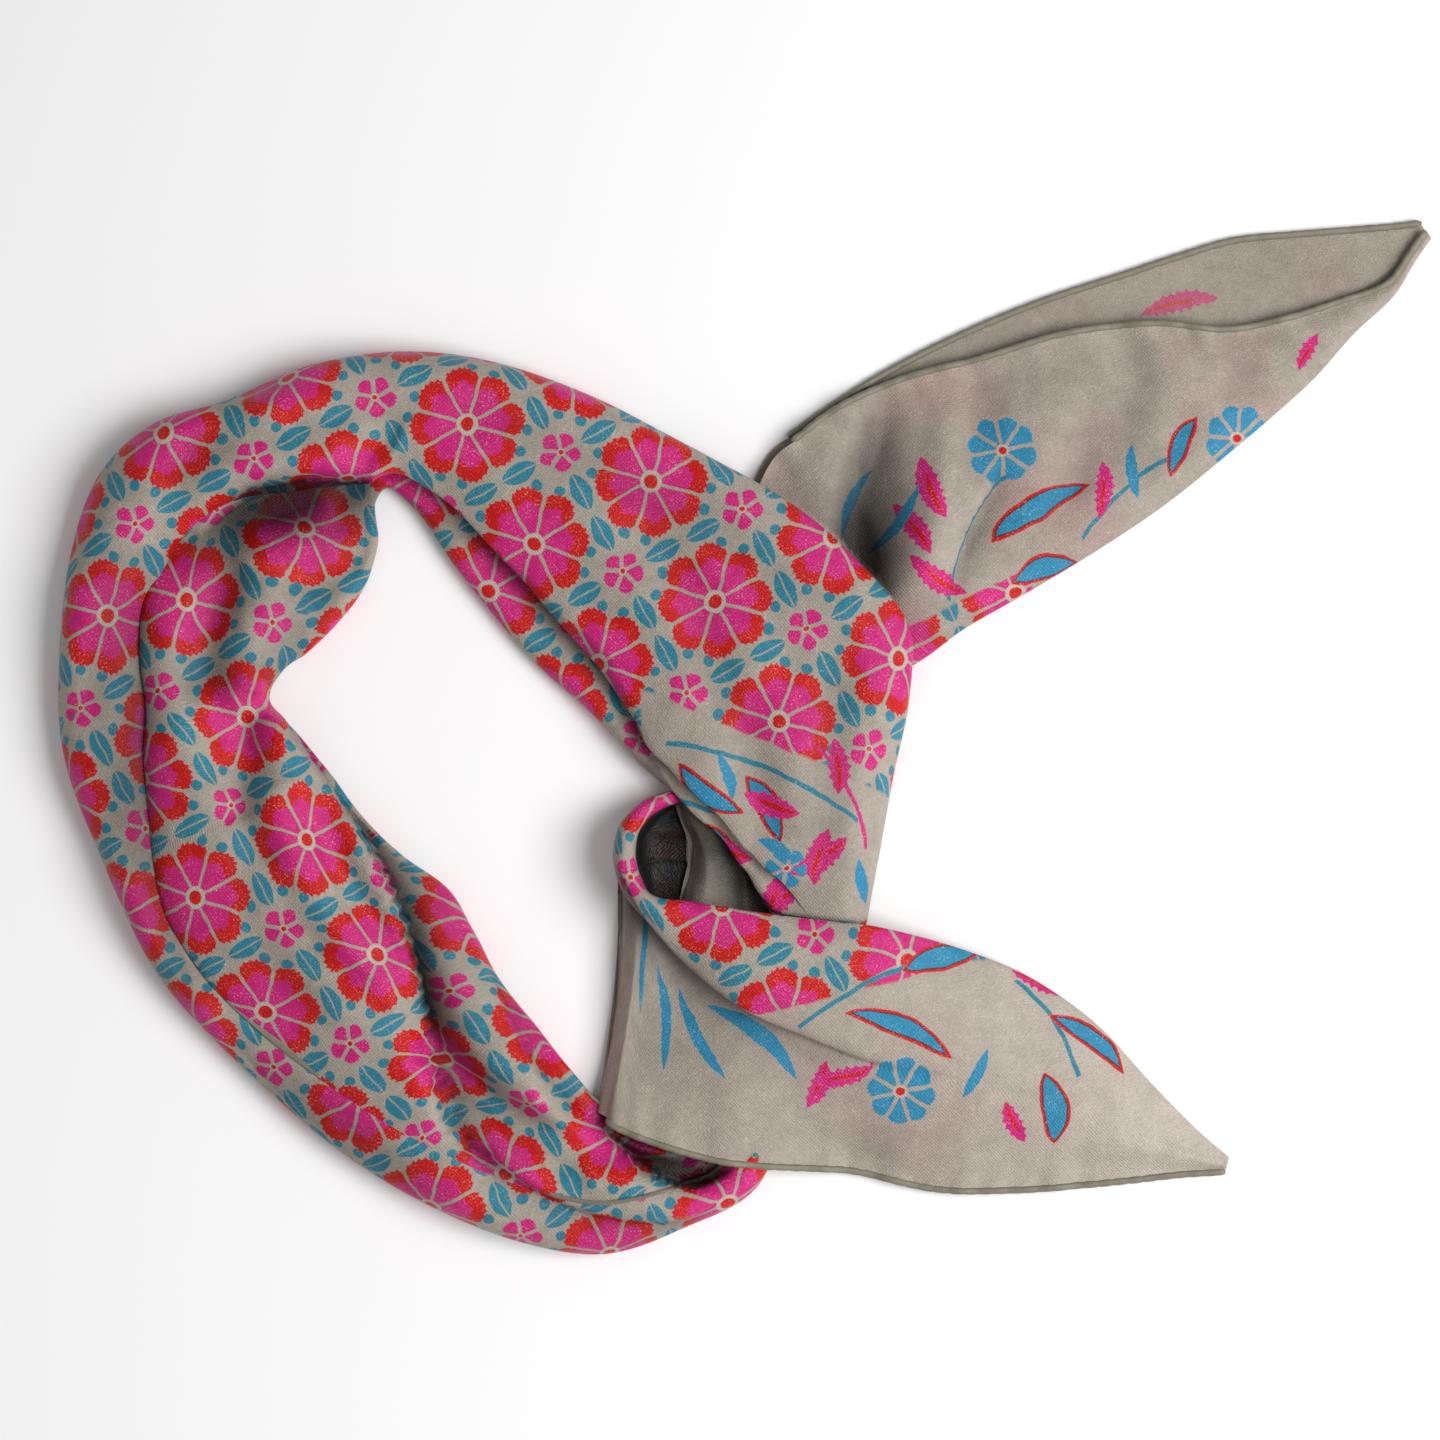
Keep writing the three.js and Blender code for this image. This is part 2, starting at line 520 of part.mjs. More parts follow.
function makeUpperFrontHem() {
  const lowest = clothWall + seatGap + hemDiameter;
  const points = upperTailRows.slice(0, -1).map((row) => {
    const level = Math.max(row.edge * upperTailRise, lowest);
    return placeOnUpperTail(row.along, row.frontHem, level);
  });
  return makeHem("upper_tail_front_hem", besideEdge(points, 1));
}

function makeLowerHem() {
  const points = lowerTailRows.map((row) => {
    const level = tableLevel + row.hem * (tailLevel - tableLevel) + 1.5 * layerStep;
    return placeOnLowerTail(row.hemAlong, row.hemAcross, Math.max(level, hemLevel));
  });
  return makeHem("lower_tail_hem", besideEdge(points, -1));
}

const scarf = new THREE.Group();
scarf.add(makeNeckLoop(), makeUpperTail(), makeKnotWrap(), makeLowerTail());
scarf.add(makeUpperBackHem(), makeUpperFrontHem(), makeLowerHem());

// Origin at the bottom centre of the whole scarf
const bounds = new THREE.Box3().setFromObject(scarf);
const centre = bounds.getCenter(new THREE.Vector3());
scarf.position.set(-centre.x, -centre.y, -bounds.min.z);
scarf.updateMatrixWorld(true);

export default scarf;
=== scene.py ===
import bpy
import numpy as np
from math import cos, pi, radians, sin
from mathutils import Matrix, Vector, noise


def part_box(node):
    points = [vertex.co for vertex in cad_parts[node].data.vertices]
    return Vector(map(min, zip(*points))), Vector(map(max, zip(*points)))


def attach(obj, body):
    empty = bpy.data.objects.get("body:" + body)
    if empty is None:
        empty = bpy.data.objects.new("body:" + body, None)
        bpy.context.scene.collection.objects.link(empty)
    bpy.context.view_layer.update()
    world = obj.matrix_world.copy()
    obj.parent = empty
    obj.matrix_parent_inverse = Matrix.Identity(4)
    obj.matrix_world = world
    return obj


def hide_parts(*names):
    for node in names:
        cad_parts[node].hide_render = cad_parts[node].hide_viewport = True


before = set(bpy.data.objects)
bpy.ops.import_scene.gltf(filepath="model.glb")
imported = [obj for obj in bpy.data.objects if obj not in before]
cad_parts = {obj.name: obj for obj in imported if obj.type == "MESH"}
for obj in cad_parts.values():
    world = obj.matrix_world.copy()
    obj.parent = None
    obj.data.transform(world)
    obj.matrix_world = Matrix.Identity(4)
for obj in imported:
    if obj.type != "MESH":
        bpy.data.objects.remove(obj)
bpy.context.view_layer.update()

mm = 0.001
body = "root"

# Camera and light

camera = {"height": 1.5, "aimX": -0.0087, "aimY": 0.0043, "frameWidth": 0.4398, "sensor": 36.0}
light = {
    "keyPower": 27.0, "keyAt": (1.0, -0.16, 1.2), "keySize": 1.0,
    "fillPower": 1.6, "fillAt": (-0.6, -0.7, 1.3), "fillSize": 1.4, "worldStrength": 0.32,
}


def aimAt(obj, target):
    direction = Vector(target) - obj.location
    obj.rotation_euler = direction.to_track_quat("-Z", "Y").to_euler()


def addCamera():
    data = bpy.data.cameras.new("overheadCamera")
    data.sensor_width = camera["sensor"]
    data.lens = camera["sensor"] * camera["height"] / camera["frameWidth"]
    obj = bpy.data.objects.new("overheadCamera", data)
    obj.location = (camera["aimX"], camera["aimY"], camera["height"])
    bpy.context.collection.objects.link(obj)
    bpy.context.scene.camera = obj


def addArea(name, place, power, size):
    data = bpy.data.lights.new(name, "AREA")
    data.energy = power
    data.size = size
    obj = bpy.data.objects.new(name, data)
    obj.location = place
    bpy.context.collection.objects.link(obj)
    aimAt(obj, (0, 0, 0))


addCamera()
addArea("keyLight", light["keyAt"], light["keyPower"], light["keySize"])
addArea("fillLight", light["fillAt"], light["fillPower"], light["fillSize"])
world = bpy.data.worlds.new("paleRoom")
world.use_nodes = True
world.node_tree.nodes["Background"].inputs[0].default_value = (1, 1, 1, 1)
world.node_tree.nodes["Background"].inputs[1].default_value = light["worldStrength"]
bpy.context.scene.world = world
bpy.context.scene.view_settings.view_transform = "Standard"
print("camera and light ready")


# Shader expressions

class Sock:
    # one value in a material; arithmetic on it adds Math nodes
    def __init__(self, maker, socket):
        self.maker = maker
        self.socket = socket

    def math(self, operation, *others):
        values = dict(enumerate((self, *others)))
        return self.maker.node("ShaderNodeMath", {"operation": operation}, values)

    def __add__(self, other): return self.math("ADD", other)
    def __radd__(self, other): return self.math("ADD", other)
    def __sub__(self, other): return self.math("SUBTRACT", other)
    def __rsub__(self, other): return (self * -1).math("ADD", other)
    def __mul__(self, other): return self.math("MULTIPLY", other)
    def __rmul__(self, other): return self.math("MULTIPLY", other)
    def abs(self): return self.math("ABSOLUTE")
    def sine(self): return self.math("SINE")
    def root(self): return self.math("SQRT")
    def power(self, other): return self.math("POWER", other)
    def least(self, other): return self.math("MINIMUM", other)
    def most(self, other): return self.math("MAXIMUM", other)
    def wrap(self, low, high): return self.math("WRAP", high, low)
    def angleTo(self, other): return self.math("ARCTAN2", other)

    # 1 where the value is over zero, with a soft edge as wide as the ink's bleed
    def inside(self, edge=0.35):
        limits = {0: self, 1: -edge / 2, 2: edge / 2, 3: 0.0, 4: 1.0}
        return self.maker.node("ShaderNodeMapRange", {"clamp": True}, limits)


class Maker:
    def __init__(self, name):
        self.material = bpy.data.materials.new(name)
        self.material.use_nodes = True
        self.tree = self.material.node_tree
        self.shader = self.tree.nodes["Principled BSDF"]

    def node(self, kind, settings, values, output=0):
        made = self.tree.nodes.new(kind)
        for key, value in settings.items():
            setattr(made, key, value)
        for key, value in values.items():
            self.feed(made.inputs[key], value)
        return Sock(self, made.outputs[output])

    def feed(self, socket, value):
        if isinstance(value, Sock):
            self.tree.links.new(value.socket, socket)
        else:
            socket.default_value = value

    def mix(self, factor, first, second):
        return self.node("ShaderNodeMix", {"data_type": "RGBA"}, {0: factor, 6: first, 7: second}, 2)

    def noise(self, scale, vector, detail=2.0, stretch=(1, 1, 1)):
        placed = self.node("ShaderNodeMapping", {}, {0: vector, 3: stretch})
        return self.node("ShaderNodeTexNoise", {}, {"Vector": placed, "Scale": scale, "Detail": detail})

    def clothPlace(self):
        uv = self.node("ShaderNodeUVMap", {"uv_map": "cloth"}, {})
        scaled = self.node("ShaderNodeVectorMath", {"operation": "SCALE"}, {0: uv, "Scale": 1000.0})
        x = self.node("ShaderNodeSeparateXYZ", {}, {0: scaled})
        y = self.node("ShaderNodeSeparateXYZ", {}, {0: scaled}, 1)
        return scaled, x, y


# Printed silk

dye = {
    "linen": (0.35, 0.305, 0.255, 1), "linenPale": (0.45, 0.40, 0.34, 1), "blush": (0.37, 0.265, 0.235, 1),
    "pink": (0.55, 0.012, 0.17, 1), "red": (0.52, 0.005, 0.003, 1), "maroon": (0.10, 0.012, 0.022, 1),
    "blue": (0.022, 0.19, 0.27, 1), "sky": (0.02, 0.22, 0.38, 1), "glint": (0.62, 0.57, 0.50, 1),
    "reverse": (0.23, 0.215, 0.165, 1), "hem": (0.215, 0.195, 0.145, 1), "hemThread": (0.28, 0.255, 0.205, 1),
    "hemShade": (0.15, 0.135, 0.10, 1),
}

# The small repeat, in millimetres: a round flower at each crossing of a turned lattice, a small one
# between, and leaves with two buds each on the lines from one to the other
rosette = {
    "pitch": 41.0, "turn": 28.0, "shiftX": 9.0, "shiftY": 4.0, "wobble": 2.4, "wobbleScale": 0.1,
    "large": {"radius": 17.8, "petals": 8, "heart": 11.3, "scallop": 2.8, "tooth": 0.8, "gap": 0.27},
    "small": {"radius": 6.4, "petals": 5, "heart": 4.0, "scallop": 2.0, "tooth": 0.3, "gap": 0.3},
    "leafFrom": 7.6, "leafLength": 12.0, "leafWidth": 2.9, "leafVein": 0.25,
    "budAlong": 10.4, "budAside": 5.6, "budRadius": 1.7,
}


# Parts of one motif, in shares of a flower's radius or a leaf's length; teeth, rims and gaps are in
# millimetres, except for the numbers of teeth on a petal
motif = {
    "bulge": 0.14, "dot": 0.12, "ring": 0.19, "outerTeeth": 3.5, "innerTeeth": 2.5, "heart": 0.5,
    "scallop": 0.16, "tooth": 0.4, "gap": 0.3, "rim": 0.2, "toothPitch": 2.6, "swell": 0.8,
    "outlineRims": (0.0, 0.8, 1.25), "blueTeeth": 0.25, "pinkTeeth": 1.1, "veinLength": 0.8,
    "veinWidth": 0.26, "veinRims": (0.1,),
}


# A place in the photograph's frame, 1440 units wide, in millimetres of the part's frame
photoStep = 0.30535
photoMiddle = (748.5, 734.0)


def placeMm(px, py):
    return (px - photoMiddle[0]) * photoStep, (photoMiddle[1] - py) * photoStep


def turned(x, y, centre, degrees):
    angle = radians(degrees)
    across = x - centre[0]
    up = y - centre[1]
    return across * cos(angle) + up * sin(angle), up * cos(angle) - across * sin(angle)


# A round flower: masks of its petals, their inner halves, its dot and the ring round it
def flowerMasks(x, y, radius, petals, heart, scallop, tooth, gap):
    reach = (x * x + y * y).root()
    angle = y.angleTo(x)
    petal = (angle * (petals / (2 * pi))).wrap(0.0, 1.0)
    middle = 1 - (petal - 0.5).abs() * 2
    dip = (1 - middle) * (1 - middle)
    edge = radius - dip * scallop - (angle * (petals * motif["outerTeeth"])).sine().abs() * tooth
    whole = (edge - reach).inside()
    notches = (angle * (petals * motif["innerTeeth"])).sine().abs() * tooth
    core = (heart + middle * (motif["bulge"] * radius) - notches - reach).inside()
    split = (reach * middle * (pi / petals) - gap * 2).inside()
    dot, ring = (radius * motif["dot"] - reach).inside(), (radius * motif["ring"] - reach).inside()
    return whole * split, core * split, dot, ring


# An almond leaf with a bent midrib, from its stalk along its own x
def leafMasks(x, y, leaf, rims, teeth=0.0):
    kind, px, py, degrees, length, width, bend = leaf
    along, side = turned(x, y, placeMm(px, py), degrees)
    share = along * (1 / length)
    arch = share * (1 - share) * 4
    swell = arch.most(0.0).power(motif["swell"]) * (width / 2)
    if teeth:
        swell = swell - (along * (pi / motif["toothPitch"])).sine().abs() * arch.most(0.0) * teeth
    side = (side - arch * bend).abs()
    return [(swell - rim - side - motif["rim"]).inside() for rim in rims]


# A stalk of even width
def stemMask(x, y, leaf):
    kind, px, py, degrees, length, width, bend = leaf
    along, side = turned(x, y, placeMm(px, py), degrees)
    share = along * (1 / length)
    line = (width / 2 - (side - share * (1 - share) * 4 * bend).abs()).inside()
    return line * (along + 0.5).inside() * (length + 0.5 - along).inside()


# Hand-cut look: the lines wander by a fraction of a millimetre
def wobbled(maker, place, x, y):
    values = {"Vector": place, "Scale": rosette["wobbleScale"], "Detail": 3.0}
    wander = maker.node("ShaderNodeTexNoise", {}, values, 1)
    sideways = maker.node("ShaderNodeSeparateXYZ", {}, {0: wander})
    upward = maker.node("ShaderNodeSeparateXYZ", {}, {0: wander}, 1)
    return x + (sideways - 0.5) * rosette["wobble"], y + (upward - 0.5) * rosette["wobble"]


def printField(x, y):
    half = rosette["pitch"] / 2
    x, y = turned(x, y, (rosette["shiftX"], rosette["shiftY"]), rosette["turn"])
    qx = x.wrap(-half, half)
    qy = y.wrap(-half, half)
    whole, core, dot, ring = flowerMasks(qx, qy, **rosette["large"])
    hx = (x + half).wrap(-half, half)
    hy = (y + half).wrap(-half, half)
    small, _, smallDot, smallRing = flowerMasks(hx, hy, **rosette["small"])
    longer = hx.abs().most(hy.abs())
    shorter = hx.abs().least(hy.abs())
    share = (longer - rosette["leafFrom"]) * (1 / rosette["leafLength"])
    swell = (share * (1 - share) * 4).most(0.0).power(0.7) * rosette["leafWidth"]
    leaf = (swell - shorter).inside() * (shorter - rosette["leafVein"]).inside()
    along, aside = longer - rosette["budAlong"], shorter - rosette["budAside"]
    bud = (rosette["budRadius"] - (along * along + aside * aside).root()).inside()
    return {"leaf": leaf.most(bud), "small": small, "whole": whole, "core": core,
            "ring": ring.most(smallRing), "dot": dot.most(smallDot)}


fieldColours = (("leaf", "blue"), ("small", "pink"), ("whole", "red"), ("core", "pink"), ("ring", "linenPale"),
                ("dot", "red"))


def paintField(maker, colour, field, mask):
    for name, ink in fieldColours:
        colour = maker.mix(field[name] * mask, colour, dye[ink])
    return colour


def paintSpray(maker, colour, x, y, spray):
    for leaf in spray:
        kind, px, py, degrees, length, width, bend = leaf
        if kind == "flower":
            across, up = turned(x, y, placeMm(px, py), degrees)
            heart, scallop = length * motif["heart"], length * motif["scallop"]
            whole, _, dot, ring = flowerMasks(across, up, length, int(width), heart, scallop,
                                              motif["tooth"], motif["gap"])
            colour = maker.mix(whole, colour, dye["sky"])
            colour = maker.mix(ring, colour, dye["linenPale"])
            colour = maker.mix(dot, colour, dye["red"])
        elif kind == "stem":
            colour = maker.mix(stemMask(x, y, leaf), colour, dye["blue"] if bend > 0 else dye["pink"])
        elif kind == "outlined":
            whole, dark, core = leafMasks(x, y, leaf, motif["outlineRims"])
            colour = maker.mix(whole, colour, dye["red"])
            colour = maker.mix(dark, colour, dye["maroon"])
            colour = maker.mix(core, colour, dye["sky"])
        elif kind == "blue":
            whole, = leafMasks(x, y, leaf, (0.0,), motif["blueTeeth"])
            colour = maker.mix(whole, colour, dye["sky"])
        elif kind == "pink":
            whole, = leafMasks(x, y, leaf, (0.0,), motif["pinkTeeth"])
            shorter, thinner = motif["veinLength"], motif["veinWidth"]
            midrib = (kind, px, py, degrees, length * shorter, width * thinner, bend * shorter)
            vein, = leafMasks(x, y, midrib, motif["veinRims"])
            colour = maker.mix(whole, colour, dye["pink"])
            colour = maker.mix(vein, colour, dye["red"])
    return colour


def fieldSide(x, y, line):
    # over zero on the left of a line from its first to its second point
    first, second = placeMm(*line[0]), placeMm(*line[1])
    run = np.hypot(second[0] - first[0], second[1] - first[1])
    ux, uy = (second[0] - first[0]) / run, (second[1] - first[1]) / run
    return (y - first[1]) * ux - (x - first[0]) * uy


# The small repeat fills all but the corners, which lines across the band cut off
def fieldMask(x, y, lines, clear):
    left, low = placeMm(*clear)
    mask = 1.0
    for line in lines:
        mask = fieldSide(x, y, line).inside(1.0) * mask
    return mask.most((left - x).inside(1.0)).most((low - y).inside(1.0))


weave = {
    "pitch": 1.05, "lean": 0.9, "line": 0.02, "cloud": 0.34, "slub": 0.34, "mottle": 0.35, "grain": 0.4,
    "cloudScale": 0.03, "speckScale": 1.6, "fineScale": 0.16, "slubScale": 1.9, "grainScale": 0.7,
    "slubStretch": (0.3, 1.5, 1), "paintedGlint": 9.0, "glintSpeck": 0.55, "glintFine": 0.35, "paintedShadeStrength": 0.98,
    "roughness": 0.42, "speckRoughness": 0.4, "cloudRoughness": 0.2, "specular": 0.22, "sheen": 0.03,
    "sheenRoughness": 0.35, "twillHeight": 0.3, "slubHeight": 2.0, "speckHeight": 2.4, "bumpStrength": 0.6,
    "bumpDistance": 0.0002,
}


# Twill, slubs, soft blotches and painted glint specks over the print, and painted shade in hidden places
def finishSilk(maker, colour, place, x, y, reverse):
    cloud = maker.noise(weave["cloudScale"], place, 4.0)
    speck = maker.noise(weave["speckScale"], place, 2.0)
    fine = maker.noise(weave["fineScale"], place, 3.0)
    grain = maker.noise(weave["grainScale"], place, 4.0)
    slub = maker.noise(weave["slubScale"], place, 3.0, weave["slubStretch"])
    twill = ((x + y * weave["lean"]) * (2 * pi / weave["pitch"])).sine()
    # painted glint: pale specks mixed into the base colour as highlights
    glintSpots = (speck - weave["glintSpeck"]).most(0.0) * (fine - weave["glintFine"]).most(0.0) * weave["paintedGlint"]
    paintedGlint = maker.mix(glintSpots, colour, dye["glint"])
    if reverse:
        paintedGlint = maker.mix(reverse, paintedGlint, dye["reverse"])
    shade = 1 + twill * weave["line"] + (cloud - 0.5) * weave["cloud"] + (slub - 0.5) * weave["slub"]
    shade = shade + (fine - 0.5) * weave["mottle"] + (grain - 0.5) * weave["grain"]
    # painted shade: each point's darkness, which darkens the base colour
    paintedShadeFac = maker.node("ShaderNodeAttribute", {"attribute_name": "paintedShade"}, {}, 2)
    shade = shade * (1 - paintedShadeFac * weave["paintedShadeStrength"])
    grey = maker.node("ShaderNodeCombineXYZ", {}, {0: shade, 1: shade, 2: shade})
    paintedGlint = maker.node("ShaderNodeVectorMath", {"operation": "MULTIPLY"}, {0: paintedGlint, 1: grey})
    rough = weave["roughness"] + (speck - 0.5) * weave["speckRoughness"]
    rough = rough + (cloud - 0.5) * weave["cloudRoughness"]
    height = twill * weave["twillHeight"] + (slub - 0.5) * weave["slubHeight"]
    height = height + (speck - 0.5) * weave["speckHeight"]
    relief = {"Strength": weave["bumpStrength"], "Distance": weave["bumpDistance"], "Height": height}
    bump = maker.node("ShaderNodeBump", {}, relief)
    maker.feed(maker.shader.inputs["Base Color"], paintedGlint)
    maker.feed(maker.shader.inputs["Roughness"], rough)
    maker.feed(maker.shader.inputs["Normal"], bump)
    maker.shader.inputs["Specular IOR Level"].default_value = weave["specular"]
    maker.shader.inputs["Sheen Weight"].default_value = weave["sheen"]
    maker.shader.inputs["Sheen Roughness"].default_value = weave["sheenRoughness"]
    return maker.material


# Pinkish patches on the linen, and painted light that pales it towards the right, in millimetres
tint = {"patchScale": 0.022, "patchFrom": 0.46, "patchMost": 0.2, "paintedLightFrom": 35, "paintedLightRun": 80}


def printedSilk(name, lines=(), clear=None, spray=(), plain=False, reverse=0.0, blush=0.0, paintedLight=0.0):
    maker = Maker(name)
    place, x, y = maker.clothPlace()
    handX, handY = wobbled(maker, place, x, y)
    colour = dye["linen"]
    if blush:
        patch = maker.noise(tint["patchScale"], place, 2.0)
        patch = (patch - tint["patchFrom"]).most(0.0).least(tint["patchMost"])
        colour = maker.mix(patch * (blush / tint["patchMost"]), colour, dye["blush"])
    # painted light: the linen pales towards the right
    if paintedLight:
        paintedLightRamp = ((x - tint["paintedLightFrom"]) * (1 / tint["paintedLightRun"])).most(0.0).least(1.0)
        colour = maker.mix(paintedLightRamp * paintedLight, colour, dye["linenPale"])
    if not plain:
        field = printField(handX, handY)
        colour = paintField(maker, colour, field, fieldMask(handX, handY, lines, clear) if lines else 1.0)
    colour = paintSpray(maker, colour, handX, handY, spray)
    return finishSilk(maker, colour, place, x, y, reverse)


# Curves and sections

def readColumn(rows, placeName, name, place):
    places = [row[placeName] for row in rows]
    values = [row[name] for row in rows]
    last = len(rows) - 1
    if place <= places[0]:
        return values[0]
    if place >= places[last]:
        return values[last]
    k = max(i for i in range(last) if places[i] <= place)
    rates = [(values[i + 1] - values[i]) / (places[i + 1] - places[i]) for i in range(last)]

    def slope(i):
        if i == 0 or i == last:
            return rates[0] if i == 0 else rates[last - 1]
        before, after = rates[i - 1], rates[i]
        return 0.0 if before * after <= 0 else 2 * before * after / (before + after)

    span = places[k + 1] - places[k]
    t = (place - places[k]) / span
    rise = values[k + 1] - values[k]
    a = slope(k) * span - rise
    b = rise - slope(k + 1) * span
    return values[k] + rise * t + t * (1 - t) * (a * (1 - t) + b * t)


# Smooth curve pulled by control points, held at both ends
def pullCurve(controls, count):
    held = np.array([controls[0], controls[0], *controls, controls[-1], controls[-1]], float)
    spans = len(held) - 3
    place = np.linspace(0, spans, count)
    k = np.minimum(place.astype(int), spans - 1)
    t = (place - k)[:, None]
    weights = ((1 - t) ** 3 / 6, (3 * t ** 3 - 6 * t ** 2 + 4) / 6,
               (-3 * t ** 3 + 3 * t ** 2 + 3 * t + 1) / 6, t ** 3 / 6)
    return sum(weight * held[k + j] for j, weight in enumerate(weights))


# Smooth path through points, read at places counted in points
def throughPoints(points, places):
    points = np.array(points, float)
    padded = np.vstack([2 * points[0] - points[1], points, 2 * points[-1] - points[-2]])
    result = []
    for place in places:
        k = min(int(place), len(points) - 2)
        t = place - k
        p0, p1, p2, p3 = padded[k:k + 4]
        d0, d1, d2 = (max(np.linalg.norm(b - a), 1e-9) ** 0.5 for a, b in ((p0, p1), (p1, p2), (p2, p3)))
        m1 = ((p1 - p0) / d0 - (p2 - p0) / (d0 + d1) + (p2 - p1) / d1) * d1
        m2 = ((p2 - p1) / d1 - (p3 - p1) / (d1 + d2) + (p3 - p2) / d2) * d1
        result.append(p1 + m1 * t + (3 * (p2 - p1) - 2 * m1 - m2) * t ** 2 + (2 * (p1 - p2) + m1 + m2) * t ** 3)
    return np.array(result)


def gridNormals(grid):
    rows = np.gradient(grid, axis=0)
    columns = np.gradient(grid, axis=1)
    normals = np.cross(rows, columns)
    return normals / np.maximum(np.linalg.norm(normals, axis=2, keepdims=True), 1e-12)


# 0 before the start, 1 past the run after it
def ramp(values, start, run):
    return np.clip((values - start) / run, 0, 1)


def eased(value):
    value = np.clip(value, 0, 1)
    return value * value * (3 - 2 * value)


def columnShares(grid):
    return np.arange(grid.shape[1]) / grid.shape[1]


# Distance along a path from its first point
def runLengths(path):
    return np.concatenate([[0], np.cumsum(np.linalg.norm(np.diff(path, axis=0), axis=1))])


# Distance along each section from its first point
def acrossLengths(grid):
    steps = np.linalg.norm(np.diff(grid, axis=1), axis=2)
    return np.concatenate([np.zeros((len(grid), 1)), np.cumsum(steps, axis=1)], axis=1)


def smoothNoise(grid, size, seed):
    shift = Vector((seed * 7.3, seed * 3.1, seed * 1.7))
    flat = grid.reshape(-1, grid.shape[-1])
    values = [noise.noise(Vector((p[0] / size[0], p[1] / size[1], p[2] / size[2])) + shift) for p in flat]
    return np.array(values).reshape(grid.shape[:2])


# Soft noise at places on the cloth: along its edge and in from it
def noiseAt(along, inward, size, seed, level=0.0):
    return smoothNoise(np.stack(np.broadcast_arrays(along, inward, level), -1), size, seed)


clothThickness = 0.5 * mm


# A closed thin sheet round a grid of middle points, with the cloth's own map in metres, and painted shade at
# each point when given
def clothPiece(name, grid, uv, outer, inner, normals=None, flip=False, reversedRows=0, paintedShade=None):
    normals = gridNormals(grid) if normals is None else normals
    layers = [grid + normals * clothThickness / 2, grid - normals * clothThickness / 2]
    rows, columns = grid.shape[:2]
    size = rows * columns
    points = np.vstack([layer.reshape(-1, 3) for layer in layers])
    points[:, 2] = np.maximum(points[:, 2], 0.02 * mm)
    index = np.arange(size).reshape(rows, columns)
    a, b, c, d = index[:-1, :-1], index[1:, :-1], index[1:, 1:], index[:-1, 1:]
    top = np.stack([a, b, c, d], axis=-1).reshape(-1, 4)
    bottom = np.stack([a, d, c, b], axis=-1).reshape(-1, 4) + size
    rims = []
    for line, turn in ((index[0], 0), (index[-1], 1), (index[:, 0], 1), (index[:, -1], 0)):
        quad = np.stack([line[:-1], line[1:], line[1:] + size, line[:-1] + size], axis=-1)
        rims.append(quad[:, ::-1] if turn else quad)
    faces = np.vstack([top, bottom, *rims])
    mesh = bpy.data.meshes.new(name)
    mesh.from_pydata(points.tolist(), [], faces.tolist())
    layer = mesh.uv_layers.new(name="cloth")
    flatUv = np.vstack([uv.reshape(-1, 2)] * 2)
    layer.data.foreach_set("uv", flatUv[faces.ravel()].astype(np.float32).ravel())
    mesh.materials.append(outer)
    mesh.materials.append(inner)
    reverseFaces = np.zeros(len(faces), np.int32)
    if flip:
        reverseFaces[:len(top)] = 1
    else:
        reverseFaces[len(top):len(top) + len(bottom)] = 1
    reverseFaces[:reversedRows * (columns - 1)] = 1
    mesh.polygons.foreach_set("material_index", reverseFaces)
    mesh.polygons.foreach_set("use_smooth", np.ones(len(faces), bool))
    # painted shade at each point, which the material reads
    if paintedShade is not None:
        values = np.tile(paintedShade.ravel(), 2).astype(np.float32)
        mesh.attributes.new("paintedShade", "FLOAT", "POINT").data.foreach_set("value", values)
    mesh.update()
    obj = bpy.data.objects.new(name, mesh)
    bpy.context.collection.objects.link(obj)
    return obj


def sheetArea(grid):
    a, b, c, d = grid[:-1, :-1], grid[1:, :-1], grid[1:, 1:], grid[:-1, 1:]
    halves = np.linalg.norm(np.cross(b - a, c - a), axis=2) + np.linalg.norm(np.cross(c - a, d - a), axis=2)
    return float(halves.sum() / 2)


def declareSheet(obj, grid, node):
    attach(obj, body)
    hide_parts(node)
    length = max(runLengths(grid[:, grid.shape[1] // 2])[-1], runLengths(grid[:, 0])[-1])
    flat = (round(float(sheetArea(grid) / length), 3), round(float(length), 3))
    print(obj.name, "flat", flat[0], "by", flat[1], "m")


# The frame's own sizes

loopLow, loopHigh = (Vector(corner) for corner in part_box("neck_loop"))
loopWidth = loopHigh.x - loopLow.x
loopDepth = loopHigh.y - loopLow.y
bandRise = loopHigh.z
clothWall = 1.2 * mm
tableLevel = clothWall / 2
layerStep = clothWall + 0.5 * mm
strandRise = 9 * mm
crossingLevel = strandRise + layerStep
crossingCrest = crossingLevel + 2.5 * layerStep
tailLevel = crossingCrest + layerStep


def placeOnLoop(shareX, shareY):
    return np.array([loopLow.x + shareX * loopWidth, loopLow.y + shareY * loopDepth])


# Neck loop: the folded band round the ring

